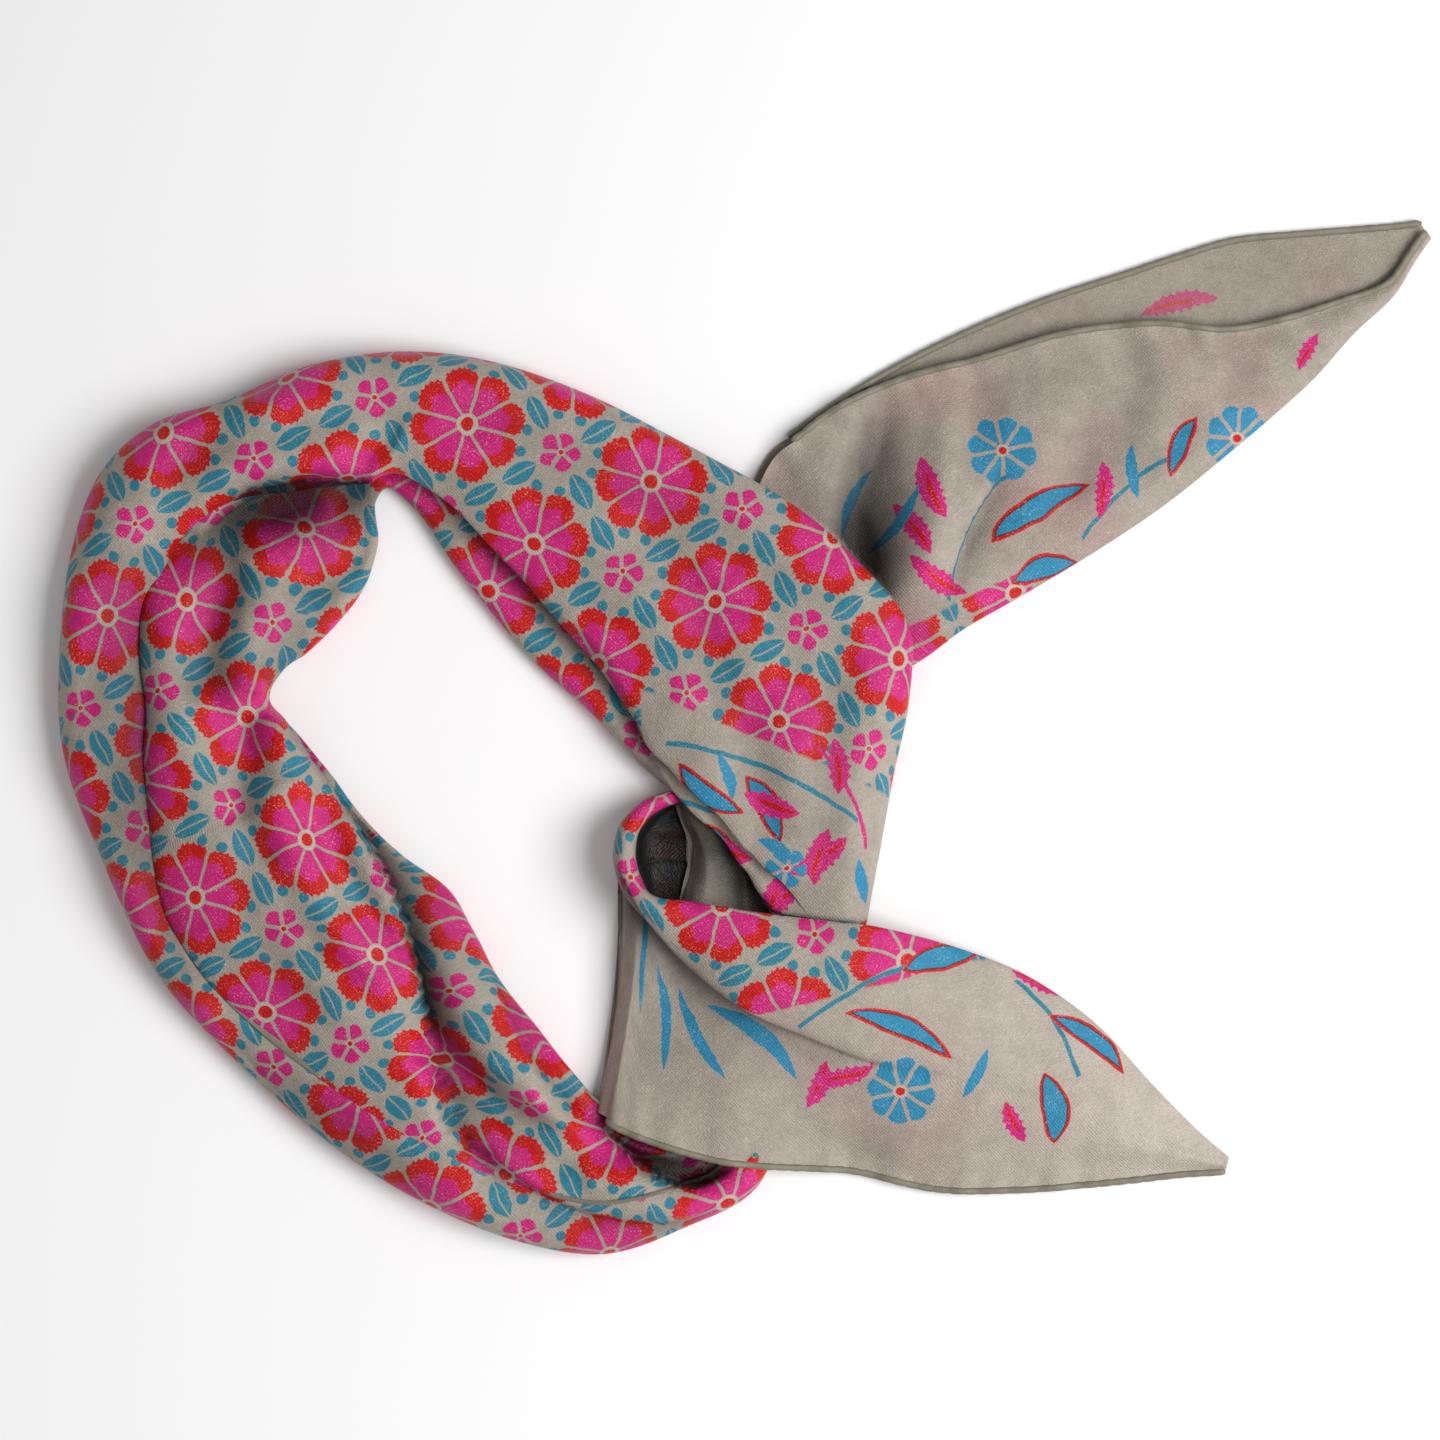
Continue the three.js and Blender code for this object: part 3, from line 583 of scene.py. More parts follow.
neckLoop = {
    "sections": 372, "across": 128,
    "ripple": 1.3 * mm, "rippleSize": (0.075, 0.016, 1), "rippleLean": 0.35, "creep": 0.45 * mm,
    "creepSize": (0.03, 0.008, 1), "rippleFrom": 3 * mm, "rippleRun": 6 * mm, "rippleColumn": 40,
    # shares across the band: the two crests that the map starts from, and where one map gives way
    "outerCrest": 0.30, "innerCrest": 0.68, "mapFrom": 0.46, "mapRun": 0.08, "mapShift": 0.0137,
    "creaseFrom": 0.2, "creaseRun": 0.35, "creaseBlunt": 0.6, "pressFrom": 0.4, "pressRun": 0.2,
    "outline": [
        (0.94, 0.365, 0.83, 0.38), (0.955, 0.445, 0.785, 0.445), (0.97, 0.525, 0.725, 0.505),
        (0.99, 0.62, 0.675, 0.545), (0.99, 0.695, 0.62, 0.6), (0.92, 0.775, 0.555, 0.655),
        (0.835, 0.84, 0.5, 0.715), (0.735, 0.895, 0.455, 0.77), (0.62, 0.95, 0.415, 0.825),
        (0.5, 0.99, 0.38, 0.85), (0.395, 1.0, 0.365, 0.83), (0.295, 0.985, 0.37, 0.79),
        (0.2, 0.95, 0.355, 0.74), (0.11, 0.92, 0.33, 0.705), (0.045, 0.86, 0.3, 0.675),
        (0.01, 0.765, 0.26, 0.645), (0.0, 0.655, 0.245, 0.615), (0.005, 0.555, 0.275, 0.58),
        (0.04, 0.46, 0.315, 0.535), (0.08, 0.37, 0.35, 0.49), (0.14, 0.28, 0.4, 0.445),
        (0.225, 0.195, 0.455, 0.405), (0.325, 0.115, 0.485, 0.355), (0.43, 0.055, 0.51, 0.31),
        (0.535, 0.015, 0.55, 0.26), (0.635, 0.0, 0.595, 0.205), (0.73, 0.03, 0.635, 0.165),
        (0.81, 0.072, 0.688, 0.15), (0.848, 0.15, 0.70, 0.21),
    ],
    # the lengthwise fold, in shares of the width and of the band's rise
    "foldNames": ("at", "crest", "near", "far", "level", "step", "innerCrest"),
    "fold": [
        (0, 0.6, 0.6, 0.6, 0.58, 0.0, 0.57), (1.2, 0.82, 0.88, 0.9, 0.66, 0.04, 0.5),
        (2.4, 0.93, 0.87, 0.92, 0.62, 0.06, 0.46), (3.1, 0.98, 0.82, 0.93, 0.52, 0.12, 0.42),
        (5, 1.0, 0.68, 0.87, 0.42, 0.14, 0.32), (7, 0.95, 0.66, 0.86, 0.4, 0.15, 0.3),
        (9, 0.92, 0.72, 0.92, 0.42, 0.16, 0.26), (10, 0.95, 0.64, 0.85, 0.45, 0.18, 0.3),
        (11, 0.98, 0.46, 0.67, 0.46, 0.2, 0.42), (12, 0.98, 0.32, 0.5, 0.46, 0.2, 0.62),
        (13, 0.94, 0.31, 0.42, 0.46, 0.17, 0.72), (14.2, 0.86, 0.34, 0.38, 0.42, 0.08, 0.8),
        (15, 0.8, 0.36, 0.38, 0.4, -0.04, 0.85), (16.3, 0.74, 0.4, 0.52, 0.42, -0.13, 0.9),
        (17.2, 0.7, 0.33, 0.46, 0.42, -0.14, 0.94), (18.4, 0.64, 0.2, 0.33, 0.4, -0.13, 0.97),
        (19.4, 0.56, 0.13, 0.22, 0.36, -0.08, 1.0), (20.6, 0.56, 0.14, 0.17, 0.44, -0.02, 0.98),
        (22, 0.64, 0.2, 0.22, 0.6, 0.0, 0.94), (24, 0.68, 0.26, 0.28, 0.66, 0.0, 0.84),
        (25.5, 0.62, 0.3, 0.32, 0.6, 0.0, 0.74), (27, 0.5, 0.32, 0.34, 0.5, 0.0, 0.62),
        (28, 0.42, 0.34, 0.36, 0.44, 0.0, 0.5),
    ],
    # how high both edges lie, in shares of the crossing's level, and how far they turn under
    "seatNames": ("at", "outLevel", "inLevel", "outLip", "inLip"),
    "seat": [
        (0, 0.4, 1.0, 0.03, 0.1), (1, 0.1, 1.0, 0.03, 0.1), (2, 0.1, 0.95, 0.03, 0.06),
        (2.7, 0.4, 0.3, 0.03, 0.05), (3.3, 1.05, 0.0, 0.08, 0.06), (4, 1.12, 0.0, 0.14, 0.08),
        (6, 1.12, 0.0, 0.14, 0.14), (7, 0.5, 0.0, 0.2, 0.2), (8, 0.0, 0.0, 0.32, 0.24),
        (25, 0.0, 0.0, 0.32, 0.24), (27, 0.0, 0.0, 0.1, 0.1), (28, 0.0, 0.0, 0.05, 0.05),
    ],
    # along the outline from and to, across the band from and to, depth and breadth in band rises
    "creases": [
        (17.3, 25.0, 0.98, 0.42, 0.42, 0.3), (19.5, 27.0, 0.5, 0.62, 0.22, 0.2),
        (24.2, 31.0, 0.86, 0.66, 0.6, 0.42), (13.6, 18.0, 0.62, 0.8, 0.3, 0.34),
        (15.8, 18.4, 0.98, 0.6, 0.34, 0.3), (16.4, 20.5, 0.66, 0.56, 0.2, 0.22),
        (2.2, 6.5, 0.3, 0.48, 0.14, 0.5), (4.5, 9.0, 0.12, 0.3, 0.12, 0.5),
        (8.2, 13.5, 0.42, 0.16, 0.16, 0.36), (9.5, 12.5, 0.6, 0.72, 0.2, 0.3),
        (11.0, 13.6, 0.95, 0.75, 0.3, 0.3), (1.0, 4.0, 0.72, 0.5, 0.14, 0.4),
    ],
}


# Laps and soft dents, each a line in the photograph's frame with its depth in millimetres, and lines of painted
# shade
bandLines = {
    "laps": [
        [(262, 668, 0.0), (285, 712, 2.6), (318, 765, 4.8), (352, 815, 6.4), (385, 868, 6.8), (408, 925, 6.8),
         (423, 985, 6.4), (431, 1049, 5.6), (447, 1112, 4.2), (480, 1160, 2.4), (525, 1192, 0.0)],
        [(725, 1192, 0.0), (690, 1212, 2.4), (640, 1216, 3.4), (585, 1206, 3.4), (530, 1180, 2.8),
         (480, 1140, 1.4), (440, 1095, 0.0)],
        [(560, 1070, 0.0), (590, 1115, 3.0), (617, 1143, 6.5), (651, 1171, 9.0), (692, 1184, 8.0),
         (716, 1178, 4.0), (736, 1168, 0.0)],
        [(384, 480, 0.0), (355, 479, 4.0), (300, 480, 7.0), (250, 492, 7.0), (215, 520, 5.0), (180, 545, 2.6),
         (158, 562, 0.0)],
        [(462, 900, 0.0), (486, 958, 2.0), (508, 1012, 3.0), (536, 1062, 3.0), (570, 1102, 2.0),
         (600, 1130, 0.0)],
    ],
    "dents": [
        [(268, 690, 0.0), (240, 676, 3.2), (205, 676, 2.8), (175, 700, 0.0)],
        [(280, 690, 0.0), (300, 640, 2.6), (330, 590, 3.0), (345, 540, 2.0), (335, 500, 0.0)],
        [(235, 520, 0.0), (228, 590, 2.8), (205, 650, 2.2), (190, 720, 0.0)],
        [(205, 1010, 0.0), (262, 1062, 3.4), (330, 1118, 3.8), (400, 1168, 2.8), (460, 1196, 0.0)],
        [(265, 790, 0.0), (250, 850, 1.4), (262, 920, 2.0), (300, 990, 2.2), (350, 1060, 0.0)],
        [(440, 398, 0.0), (530, 436, 1.8), (630, 486, 2.4), (730, 548, 2.2), (810, 606, 1.4), (860, 650, 0.0)],
        [(600, 470, 0.0), (660, 540, 1.6), (700, 620, 2.2), (730, 700, 2.2), (760, 790, 1.6), (780, 880, 0.0)],
        [(845, 600, 0.0), (840, 680, 2.0), (830, 760, 2.4), (822, 850, 2.0), (818, 920, 0.0)],
        [(300, 370, 0.0), (250, 410, 2.0), (200, 460, 2.4), (165, 520, 0.0)],
        [(100, 500, 0.0), (112, 590, 1.8), (104, 690, 2.0), (110, 790, 1.8), (140, 880, 0.0)],
        [(240, 520, 2.0), (280, 510, 4.6), (335, 510, 4.6), (365, 530, 3.0), (368, 570, 0.0)],
    ],
    "dentBreadth": 6.5 * mm,
    # breadth, then the line whose left-hand side gets painted shade, with its darkness
    "shades": [
        (15 * mm, [(394, 486, 0.1), (372, 482, 0.6), (345, 481, 0.85), (300, 482, 0.9), (250, 494, 0.8),
                   (215, 522, 0.55), (180, 547, 0.25), (155, 566, 0.0)]),
        (8 * mm, [(580, 1100, 0.1), (617, 1143, 0.9), (651, 1171, 1.0), (694, 1186, 1.0), (722, 1175, 0.9),
                  (740, 1162, 0.4)]),
        (5 * mm, [(150, 568, 0.2), (149, 640, 0.45), (149, 710, 0.5), (150, 780, 0.45), (163, 882, 0.35),
                  (199, 982, 0.2), (212, 1020, 0.0)]),
        (9 * mm, [(212, 1020, 0.0), (199, 982, 0.3), (163, 882, 0.5), (150, 780, 0.6), (149, 710, 0.6),
                  (149, 640, 0.5), (150, 568, 0.2)]),
        (6 * mm, [(668, 781, 0.5), (648, 748, 0.5), (632, 698, 0.5), (608, 661, 0.45), (575, 625, 0.4),
                  (532, 582, 0.35), (482, 539, 0.3), (409, 499, 0.2)]),
        (12 * mm, [(277, 700, 0.3), (300, 745, 0.3), (330, 790, 0.2), (372, 850, 0.2), (400, 905, 0.35),
                   (417, 975, 0.4), (430, 1030, 0.42), (447, 1079, 0.42), (476, 1146, 0.3), (520, 1195, 0.0)]),
    ],
}
# shade, shadeReach, dentShade, shadeEdge and the cap on their sum set the painted shade beside laps and in
# dents
lap = {
    "edge": 0.9 * mm, "reach": 9 * mm, "puff": 0.4, "puffReach": 0.6, "slip": 0.9, "slipReach": 26 * mm,
    "shade": 0.13, "shadeReach": 5 * mm, "dentShade": 0.085, "paintedShadeMost": 0.94, "shadeEdge": 0.7 * mm,
    "pathSteps": 110,
}


# Signed distance from a line, over zero on its left, with the line's depth and its left-hand way there
def lineDistance(ground, line):
    places = np.linspace(0, len(line) - 1, lap["pathSteps"])
    path = throughPoints([(*placeMm(px, py), depth) for px, py, depth in line], places)
    flat = ground.reshape(-1, 2) / mm
    gaps = flat[:, None] - path[None, :, :2]
    nearest = np.argmin((gaps ** 2).sum(axis=2), axis=1)
    tangent = np.gradient(path[:, :2], axis=0)
    tangent /= np.linalg.norm(tangent, axis=1, keepdims=True)
    leftward = np.stack([-tangent[:, 1], tangent[:, 0]], axis=-1)[nearest]
    gap = flat - path[nearest, :2]
    away = np.sign((gap * leftward).sum(axis=1)) * np.linalg.norm(gap, axis=1)
    shape = ground.shape[:2]
    return (away * mm).reshape(shape), (path[nearest, 2] * mm).reshape(shape), leftward.reshape(*shape, 2)


# Painted soft shade on the left-hand side of each line
def shadeBeside(grid, shades):
    paintedShade = np.zeros(grid.shape[:2])
    for breadth, line in shades:
        away, darkness, _ = lineDistance(grid[..., :2], line)
        onSide = np.clip(away / lap["shadeEdge"] + 0.5, 0, 1)
        paintedShade += darkness / mm * np.exp(-(away / breadth) ** 2) * onSide
    return paintedShade


# The cloth on a lap's right lies over the cloth on its left, and hides some of it; a dent is a soft valley;
# both get painted shade, beside the lap and in the dent
def pressLines(grid, uv, lines, onTop):
    shift, paintedShade = np.zeros(grid.shape[:2]), np.zeros(grid.shape[:2])
    laid = uv.copy()
    for line in lines["laps"]:
        away, depth, leftward = lineDistance(grid[..., :2], line)
        under = eased(0.5 + away / (2 * lap["edge"]))
        beyond, within = np.maximum(away, 0), np.maximum(-away, 0) / (lap["puffReach"] * lap["reach"])
        shift -= depth * under * np.exp(-beyond / lap["reach"])
        shift += depth * lap["puff"] * within * np.exp(1 - within)
        paintedShade += depth / mm * lap["shade"] * under * np.exp(-beyond / lap["shadeReach"])
        slip = depth * under * lap["slip"] * np.exp(-beyond / lap["slipReach"]) * onTop
        laid += leftward * slip[..., None]
    for line in lines["dents"]:
        away, depth, _ = lineDistance(grid[..., :2], line)
        hollow = depth * np.exp(-(away / lines["dentBreadth"]) ** 2)
        shift -= hollow
        paintedShade += hollow / mm * lap["dentShade"]
    paintedShade = paintedShade * onTop + shadeBeside(grid, lines["shades"])
    moved = grid.copy()
    moved[..., 2] = np.maximum(moved[..., 2] + shift * onTop, tableLevel + layerStep * onTop)
    return moved, laid, np.clip(paintedShade, 0, lap["paintedShadeMost"])


def rowsOf(piece, name):
    return [dict(zip(piece[name + "Names"], row)) for row in piece[name]]


def buildNeckLoop():
    outline = neckLoop["outline"]
    places = np.linspace(0, len(outline) - 1, neckLoop["sections"])
    outer = throughPoints([placeOnLoop(row[0], row[1]) for row in outline], places)
    inner = throughPoints([placeOnLoop(row[2], row[3]) for row in outline], places)
    folds, seats = rowsOf(neckLoop, "fold"), rowsOf(neckLoop, "seat")
    grid = np.zeros((neckLoop["sections"], neckLoop["across"], 3))
    for i, at in enumerate(places):
        fold = {name: readColumn(folds, "at", name, at) for name in neckLoop["foldNames"][1:]}
        seat = {name: readColumn(seats, "at", name, at) for name in neckLoop["seatNames"][1:]}
        outLevel = max(tableLevel, seat["outLevel"] * crossingLevel)
        inLevel = max(tableLevel, seat["inLevel"] * crossingLevel)
        crest, innerCrest = fold["crest"] * bandRise, fold["innerCrest"] * bandRise
        near, far = fold["near"], fold["far"]
        level, step = fold["level"] * bandRise, fold["step"] * bandRise
        controls = [
            (seat["outLip"], outLevel), (seat["outLip"] * 0.5, outLevel), (0, outLevel),
            (0, outLevel + (crest - outLevel) * 0.6), (near * 0.28, crest), (near * 0.72, crest),
            (far, level + step * 1.5), (far, level + step * 0.5), (near, level - step * 0.5),
            (near, level - step * 1.5),
            (far + (1 - far) * 0.4, innerCrest), (far + (1 - far) * 0.75, innerCrest),
            (1, inLevel + (innerCrest - inLevel) * 0.6), (1, inLevel), (1 - seat["inLip"] * 0.5, inLevel),
            (1 - seat["inLip"], inLevel),
        ]
        profile = pullCurve(controls, neckLoop["across"])
        across = inner[i] - outer[i]
        width = np.linalg.norm(across)
        for start, end, first, second, depth, breadth in neckLoop["creases"]:
            t = (at - start) / (end - start)
            if 0 < t < 1:
                middle = first + (second - first) * t
                distance = (profile[:, 0] - middle) * width / (breadth * bandRise)
                onTop = eased((profile[:, 1] / bandRise - neckLoop["creaseFrom"]) / neckLoop["creaseRun"])
                depth *= bandRise * sin(pi * t) ** neckLoop["creaseBlunt"]
                profile[:, 1] -= depth * np.exp(-distance ** 2) * onTop
        grid[i, :, :2] = outer[i] + profile[:, :1] * across
        grid[i, :, 2] = np.maximum(profile[:, 1], tableLevel)
    height = grid[..., 2] / grid[..., 2].max(axis=1, keepdims=True)
    onTop = ramp(height, neckLoop["pressFrom"], neckLoop["pressRun"])
    return pressLines(rippleBand(grid), bandMap(grid, outer, inner), bandLines, onTop)


# The cloth's own map: true distances across each section, laid out round the ring
def bandMap(grid, outer, inner):
    lengths = acrossLengths(grid)
    direction = (inner - outer) / np.linalg.norm(inner - outer, axis=1, keepdims=True)
    blend = eased((columnShares(grid) - neckLoop["mapFrom"]) / neckLoop["mapRun"])[None, :, None]
    layouts = []
    for crest, shift in (("outerCrest", 0.0), ("innerCrest", neckLoop["mapShift"])):
        column = int(grid.shape[1] * neckLoop[crest])
        offset = (lengths - lengths[:, column:column + 1])[..., None]
        layouts.append(grid[:, column, None, :2] + offset * direction[:, None] + shift)
    return layouts[0] * (1 - blend) + layouts[1] * blend


def rippleBand(grid):
    along = runLengths(grid[:, neckLoop["rippleColumn"], :2])[:, None]
    lengths = acrossLengths(grid)
    lean = neckLoop["rippleLean"] * along
    broad = noiseAt(along, lengths + lean, neckLoop["rippleSize"], 3)
    fine = noiseAt(along, lengths, neckLoop["creepSize"], 5)
    lifted = ramp(grid[..., 2], neckLoop["rippleFrom"], neckLoop["rippleRun"])
    shift = (broad * neckLoop["ripple"] + fine * neckLoop["creep"]) * lifted
    return grid + gridNormals(grid) * shift[..., None]


fieldEdge = ((560, 655), (960, 822))
# Each motif: kind, place in the photograph's frame, direction, length, width and bend; a flower has
# its radius and number of petals instead
loopSpray = [
    ("stem", 668, 742, -22, 62.0, 1.5, 4.0), ("outlined", 678, 762, -38, 25.0, 8.0, -2.5),
    ("blue", 716, 752, -74, 15.0, 4.2, 1.4), ("outlined", 742, 774, -62, 24.0, 8.5, 2.2),
    ("stem", 868, 846, 118, 34.0, 1.3, -3.0), ("pink", 800, 812, 160, 19.0, 8.5, 1.2),
    ("pink", 838, 792, 96, 17.0, 8.0, -1.0), ("pink", 846, 836, 212, 21.0, 8.5, 1.4),
    ("pink", 812, 884, 74, 18.0, 8.0, 1.2), ("blue", 756, 838, -30, 13.0, 4.5, 1.0),
    ("flower", 786, 866, 20, 6.4, 6, 0), ("blue", 868, 902, 102, 14.0, 5.0, 0.8),
]
silkLoop = printedSilk("loopSilk", [fieldEdge], (640, 920), loopSpray)
silkReverse = printedSilk("reverseSilk", plain=True, reverse=0.85)
silkInside = printedSilk("insideSilk", plain=True, reverse=0.25, blush=0.8)
loopGrid, loopUv, loopPaintedShade = buildNeckLoop()
loopSheet = clothPiece("neck_loop_silk", loopGrid, loopUv, silkLoop, silkReverse, paintedShade=loopPaintedShade)
declareSheet(loopSheet, loopGrid, "neck_loop")
print("neck loop made")


# Two-layer corners: from the back hem round the fold and back to the front hem

def foldedProfile(backHem, foldEdge, frontHem, levels, count):
    def along(share): return backHem + (foldEdge - backHem) * share
    def back(share): return frontHem + (foldEdge - frontHem) * share
    controls = [
        (*along(0), levels["backHem"]), (*along(0.35), levels["back"]), (*along(0.7), levels["back"]),
        (*along(1), levels["foldLow"]), (*along(1), levels["foldHigh"]), (*back(0.72), levels["crest"]),
        (*back(0.35), levels["crest"]), (*back(0.1), levels.get("ridge", levels["frontHem"])),
        (*back(0), levels["frontHem"]),
    ]
    return pullCurve(controls, count)


# More sections on smooth curves through the given ones
def refineGrid(profiles, count):
    stacked = np.array(profiles)
    flat = throughPoints(stacked.reshape(len(stacked), -1), np.linspace(0, len(stacked) - 1, count))
    return flat.reshape(count, *stacked.shape[1:])


# Map of a folded corner: its place from above, with true lengths across each section
def cornerMap(grid, backShift):
    lengths = acrossLengths(grid)
    columns = grid.shape[1]
    run = grid[:, -1, :2] - grid[:, columns // 2, :2]
    direction = run / np.maximum(np.linalg.norm(run, axis=1, keepdims=True), 1e-9)
    middle = int(columns * upperTail["mapMiddle"])
    offset = (lengths - lengths[:, middle:middle + 1])[..., None]
    front = grid[:, middle, None, :2] + offset * direction[:, None]
    back = grid[..., :2] + np.array(backShift)
    share = ramp(columnShares(grid), upperTail["mapFrom"], upperTail["mapRun"])[None, :, None]
    return back * (1 - share) + front * share


upperTail = {
    "sections": 300, "across": 144, "length": 212 * mm, "width": 77 * mm, "rise": 12 * mm, "heading": 30,
    "rootX": 0.902, "rootY": 0.755, "setback": 0.04, "pucker": 0.8 * mm, "puckerPitch": 11 * mm,
    "reversedRows": 90, "hemFrom": 0.405, "backShift": (0.021, 0.6),
    "mapMiddle": 0.72, "mapFrom": 0.3, "mapRun": 0.05, "pressFrom": 0.54, "pressRun": 0.06,
    # the plain stretch under the crossing: both edges in shares of the loop's box, and its levels
    "strandNames": ("outX", "outY", "inX", "inY", "under", "over"),
    "strand": [
        (0.852, 0.165, 0.702, 0.222, 0.0, 0.6), (0.88, 0.275, 0.7, 0.305, 1.2, 0.9),
        (0.895, 0.385, 0.724, 0.4, 1.2, 0.9), (0.905, 0.44, 0.733, 0.45, 1.2, 0.9),
        (0.915, 0.49, 0.716, 0.51, 1.2, 0.9), (0.94, 0.56, 0.735, 0.62, 0.6, 0.9),
        (0.965, 0.605, 0.765, 0.74, 0.0, 0.92),
    ],
    # the corner: way along it, its three edges across it, and shares of its rise
    "cornerNames": ("along", "backHem", "fold", "frontHem", "crest", "edge"),
    "corner": [
        (0.0, 0.53, -0.49, 0.5, 0.82, 0.42), (0.06, 0.555, -0.48, 0.53, 0.95, 0.42),
        (0.12, 0.57, -0.46, 0.55, 1.0, 0.42), (0.22, 0.575, -0.46, 0.525, 1.0, 0.4),
        (0.34, 0.555, -0.453, 0.435, 0.9, 0.4), (0.46, 0.51, -0.43, 0.355, 0.8, 0.42),
        (0.58, 0.44, -0.377, 0.21, 0.7, 0.42), (0.66, 0.395, -0.335, 0.055, 0.6, 0.4),
        (0.74, 0.34, -0.285, -0.025, 0.5, 0.36), (0.82, 0.24, -0.21, -0.075, 0.42, 0.32),
        (0.9, 0.135, -0.155, -0.11, 0.32, 0.28), (0.95, 0.07, -0.08, -0.05, 0.28, 0.26),
        (0.985, 0.03, -0.035, -0.005, 0.28, 0.26),
    ],
}


cornerLines = {
    "laps": [[(1000, 460, 0.0), (986, 494, 3.0), (964, 539, 4.4), (948, 590, 4.4), (938, 640, 2.0)]],
    "dents": [
        [(840, 650, 2.0), (848, 580, 5.5), (856, 510, 7.0), (868, 450, 5.5), (885, 395, 1.5)],
        [(830, 640, 2.0), (862, 590, 5.0), (880, 530, 5.0), (886, 470, 3.0), (880, 410, 0.0)],
        [(905, 640, -1.0), (925, 560, -3.0), (938, 490, -3.4), (948, 430, -2.0), (955, 380, 0.0)],
        [(1020, 590, 0.0), (1060, 520, 2.0), (1085, 450, 2.2), (1100, 370, 0.0)],
        [(930, 640, 0.0), (1020, 600, 1.6), (1100, 535, 2.0), (1160, 470, 1.6), (1200, 400, 0.0)],
        [(1110, 325, 0.0), (1130, 380, 2.0), (1120, 440, 1.8), (1100, 500, 0.0)],
        [(1235, 322, 0.0), (1240, 365, 1.8), (1225, 415, 0.0)],
        [(960, 372, 0.0), (975, 420, 2.0), (965, 470, 0.0)],
    ],
    "dentBreadth": 6.5 * mm,
    # breadth, then the line whose left-hand side gets painted shade, with its darkness
    "shades": [
        (13 * mm, [(772, 916, 1.0), (740, 857, 1.0), (717, 829, 0.85), (692, 796, 0.7), (668, 776, 0.5)]),
        (14 * mm, [(760, 486, 0.0), (800, 508, 0.2), (850, 550, 0.42), (880, 580, 0.42), (905, 625, 0.2),
                   (915, 665, 0.0)]),
    ],
}


def placeOnUpperTail(along, across):
    turn = radians(upperTail["heading"])
    forward, sideways = along * upperTail["length"], across * upperTail["width"]
    root = placeOnLoop(upperTail["rootX"], upperTail["rootY"])
    return root + np.array([forward * cos(turn) - sideways * sin(turn),
                            forward * sin(turn) + sideways * cos(turn)])


def buildUpperTail():
    profiles = []
    for row in rowsOf(upperTail, "strand"):
        under, over = tableLevel + row["under"] * layerStep, row["over"] * strandRise
        inner, outer = placeOnLoop(row["inX"], row["inY"]), placeOnLoop(row["outX"], row["outY"])
        front = inner + (outer - inner) * upperTail["setback"]
        levels = {"backHem": under, "back": under, "foldLow": under, "foldHigh": over * 0.7,
                  "crest": over * 0.8, "ridge": over * 1.15, "frontHem": under + layerStep}
        profiles.append(foldedProfile(inner, outer, front, levels, upperTail["across"]))
    for row in rowsOf(upperTail, "corner"):
        crest, edge = row["crest"] * upperTail["rise"], row["edge"] * upperTail["rise"]
        levels = {"backHem": tableLevel, "back": tableLevel, "foldLow": tableLevel, "foldHigh": crest * 0.7,
                  "crest": crest, "frontHem": edge}
        edges = [placeOnUpperTail(row["along"], row[name]) for name in ("backHem", "fold", "frontHem")]
        profiles.append(foldedProfile(*edges, levels, upperTail["across"]))
    grid = refineGrid(profiles, upperTail["sections"])
    grid[..., 2] = np.maximum(grid[..., 2], tableLevel)
    uv = cornerMap(grid, upperTail["backShift"])
    onTop = ramp(columnShares(grid), upperTail["pressFrom"], upperTail["pressRun"])[None]
    pressed, laid, paintedShade = pressLines(creaseStrand(grid), uv, cornerLines, onTop)
    return puckerEdge(pressed, upperTail), laid, paintedShade


# Each point's distance in from the front edge, and its section's place along that edge
def frontPlaces(grid):
    lengths = acrossLengths(grid)
    return lengths[:, -1:] - lengths, runLengths(grid[:, -1])[:, None], lengths[:, -1:]


# Lengthwise creases of the plain stretch under the crossing
strandCrease = {
    "pitch": 12 * mm, "drift": 18, "wander": 3, "size": (0.03, 0.02, 1), "height": 1.9 * mm, "base": 0.4,
    "topFrom": 0.62, "topRun": 0.1, "end": 90 * mm, "endRun": 30 * mm, "startRun": 10 * mm, "edgeRun": 3 * mm,
}


def creaseStrand(grid):
    fromFront, along, _ = frontPlaces(grid)
    wander = noiseAt(along, fromFront, strandCrease["size"], 21) * strandCrease["wander"]
    crease = 1 - np.abs(np.sin(fromFront * pi / strandCrease["pitch"] + along * strandCrease["drift"] + wander))
    onTop = ramp(columnShares(grid), strandCrease["topFrom"], strandCrease["topRun"])[None]
    fade = ramp(-along, -strandCrease["end"], strandCrease["endRun"]) * ramp(along, 0, strandCrease["startRun"])
    edge = ramp(fromFront, 0, strandCrease["edgeRun"])
    moved = grid.copy()
    moved[..., 2] += (crease - strandCrease["base"]) * strandCrease["height"] * onTop * fade * edge
    return moved


# Small ripples that the rolled hem gathers into the cloth, and broad soft hollows; the last number of
# each noise is its seed
pucker = {
    "wanderSize": (0.03, 0.05, 1), "wander": 7, "looseSize": (0.009, 0.03, 1), "looseDrag": 0.2,
    "broadSize": (0.034, 0.024, 1), "broad": 2.0 * mm, "broadReach": 8 * mm, "even": 0.42, "evenReach": 9 * mm,
    "loose": 1.7, "looseReach": 18 * mm, "topFrom": 0.5, "topRun": 0.08, "tipFrom": 12 * mm, "tipRun": 50 * mm,
}


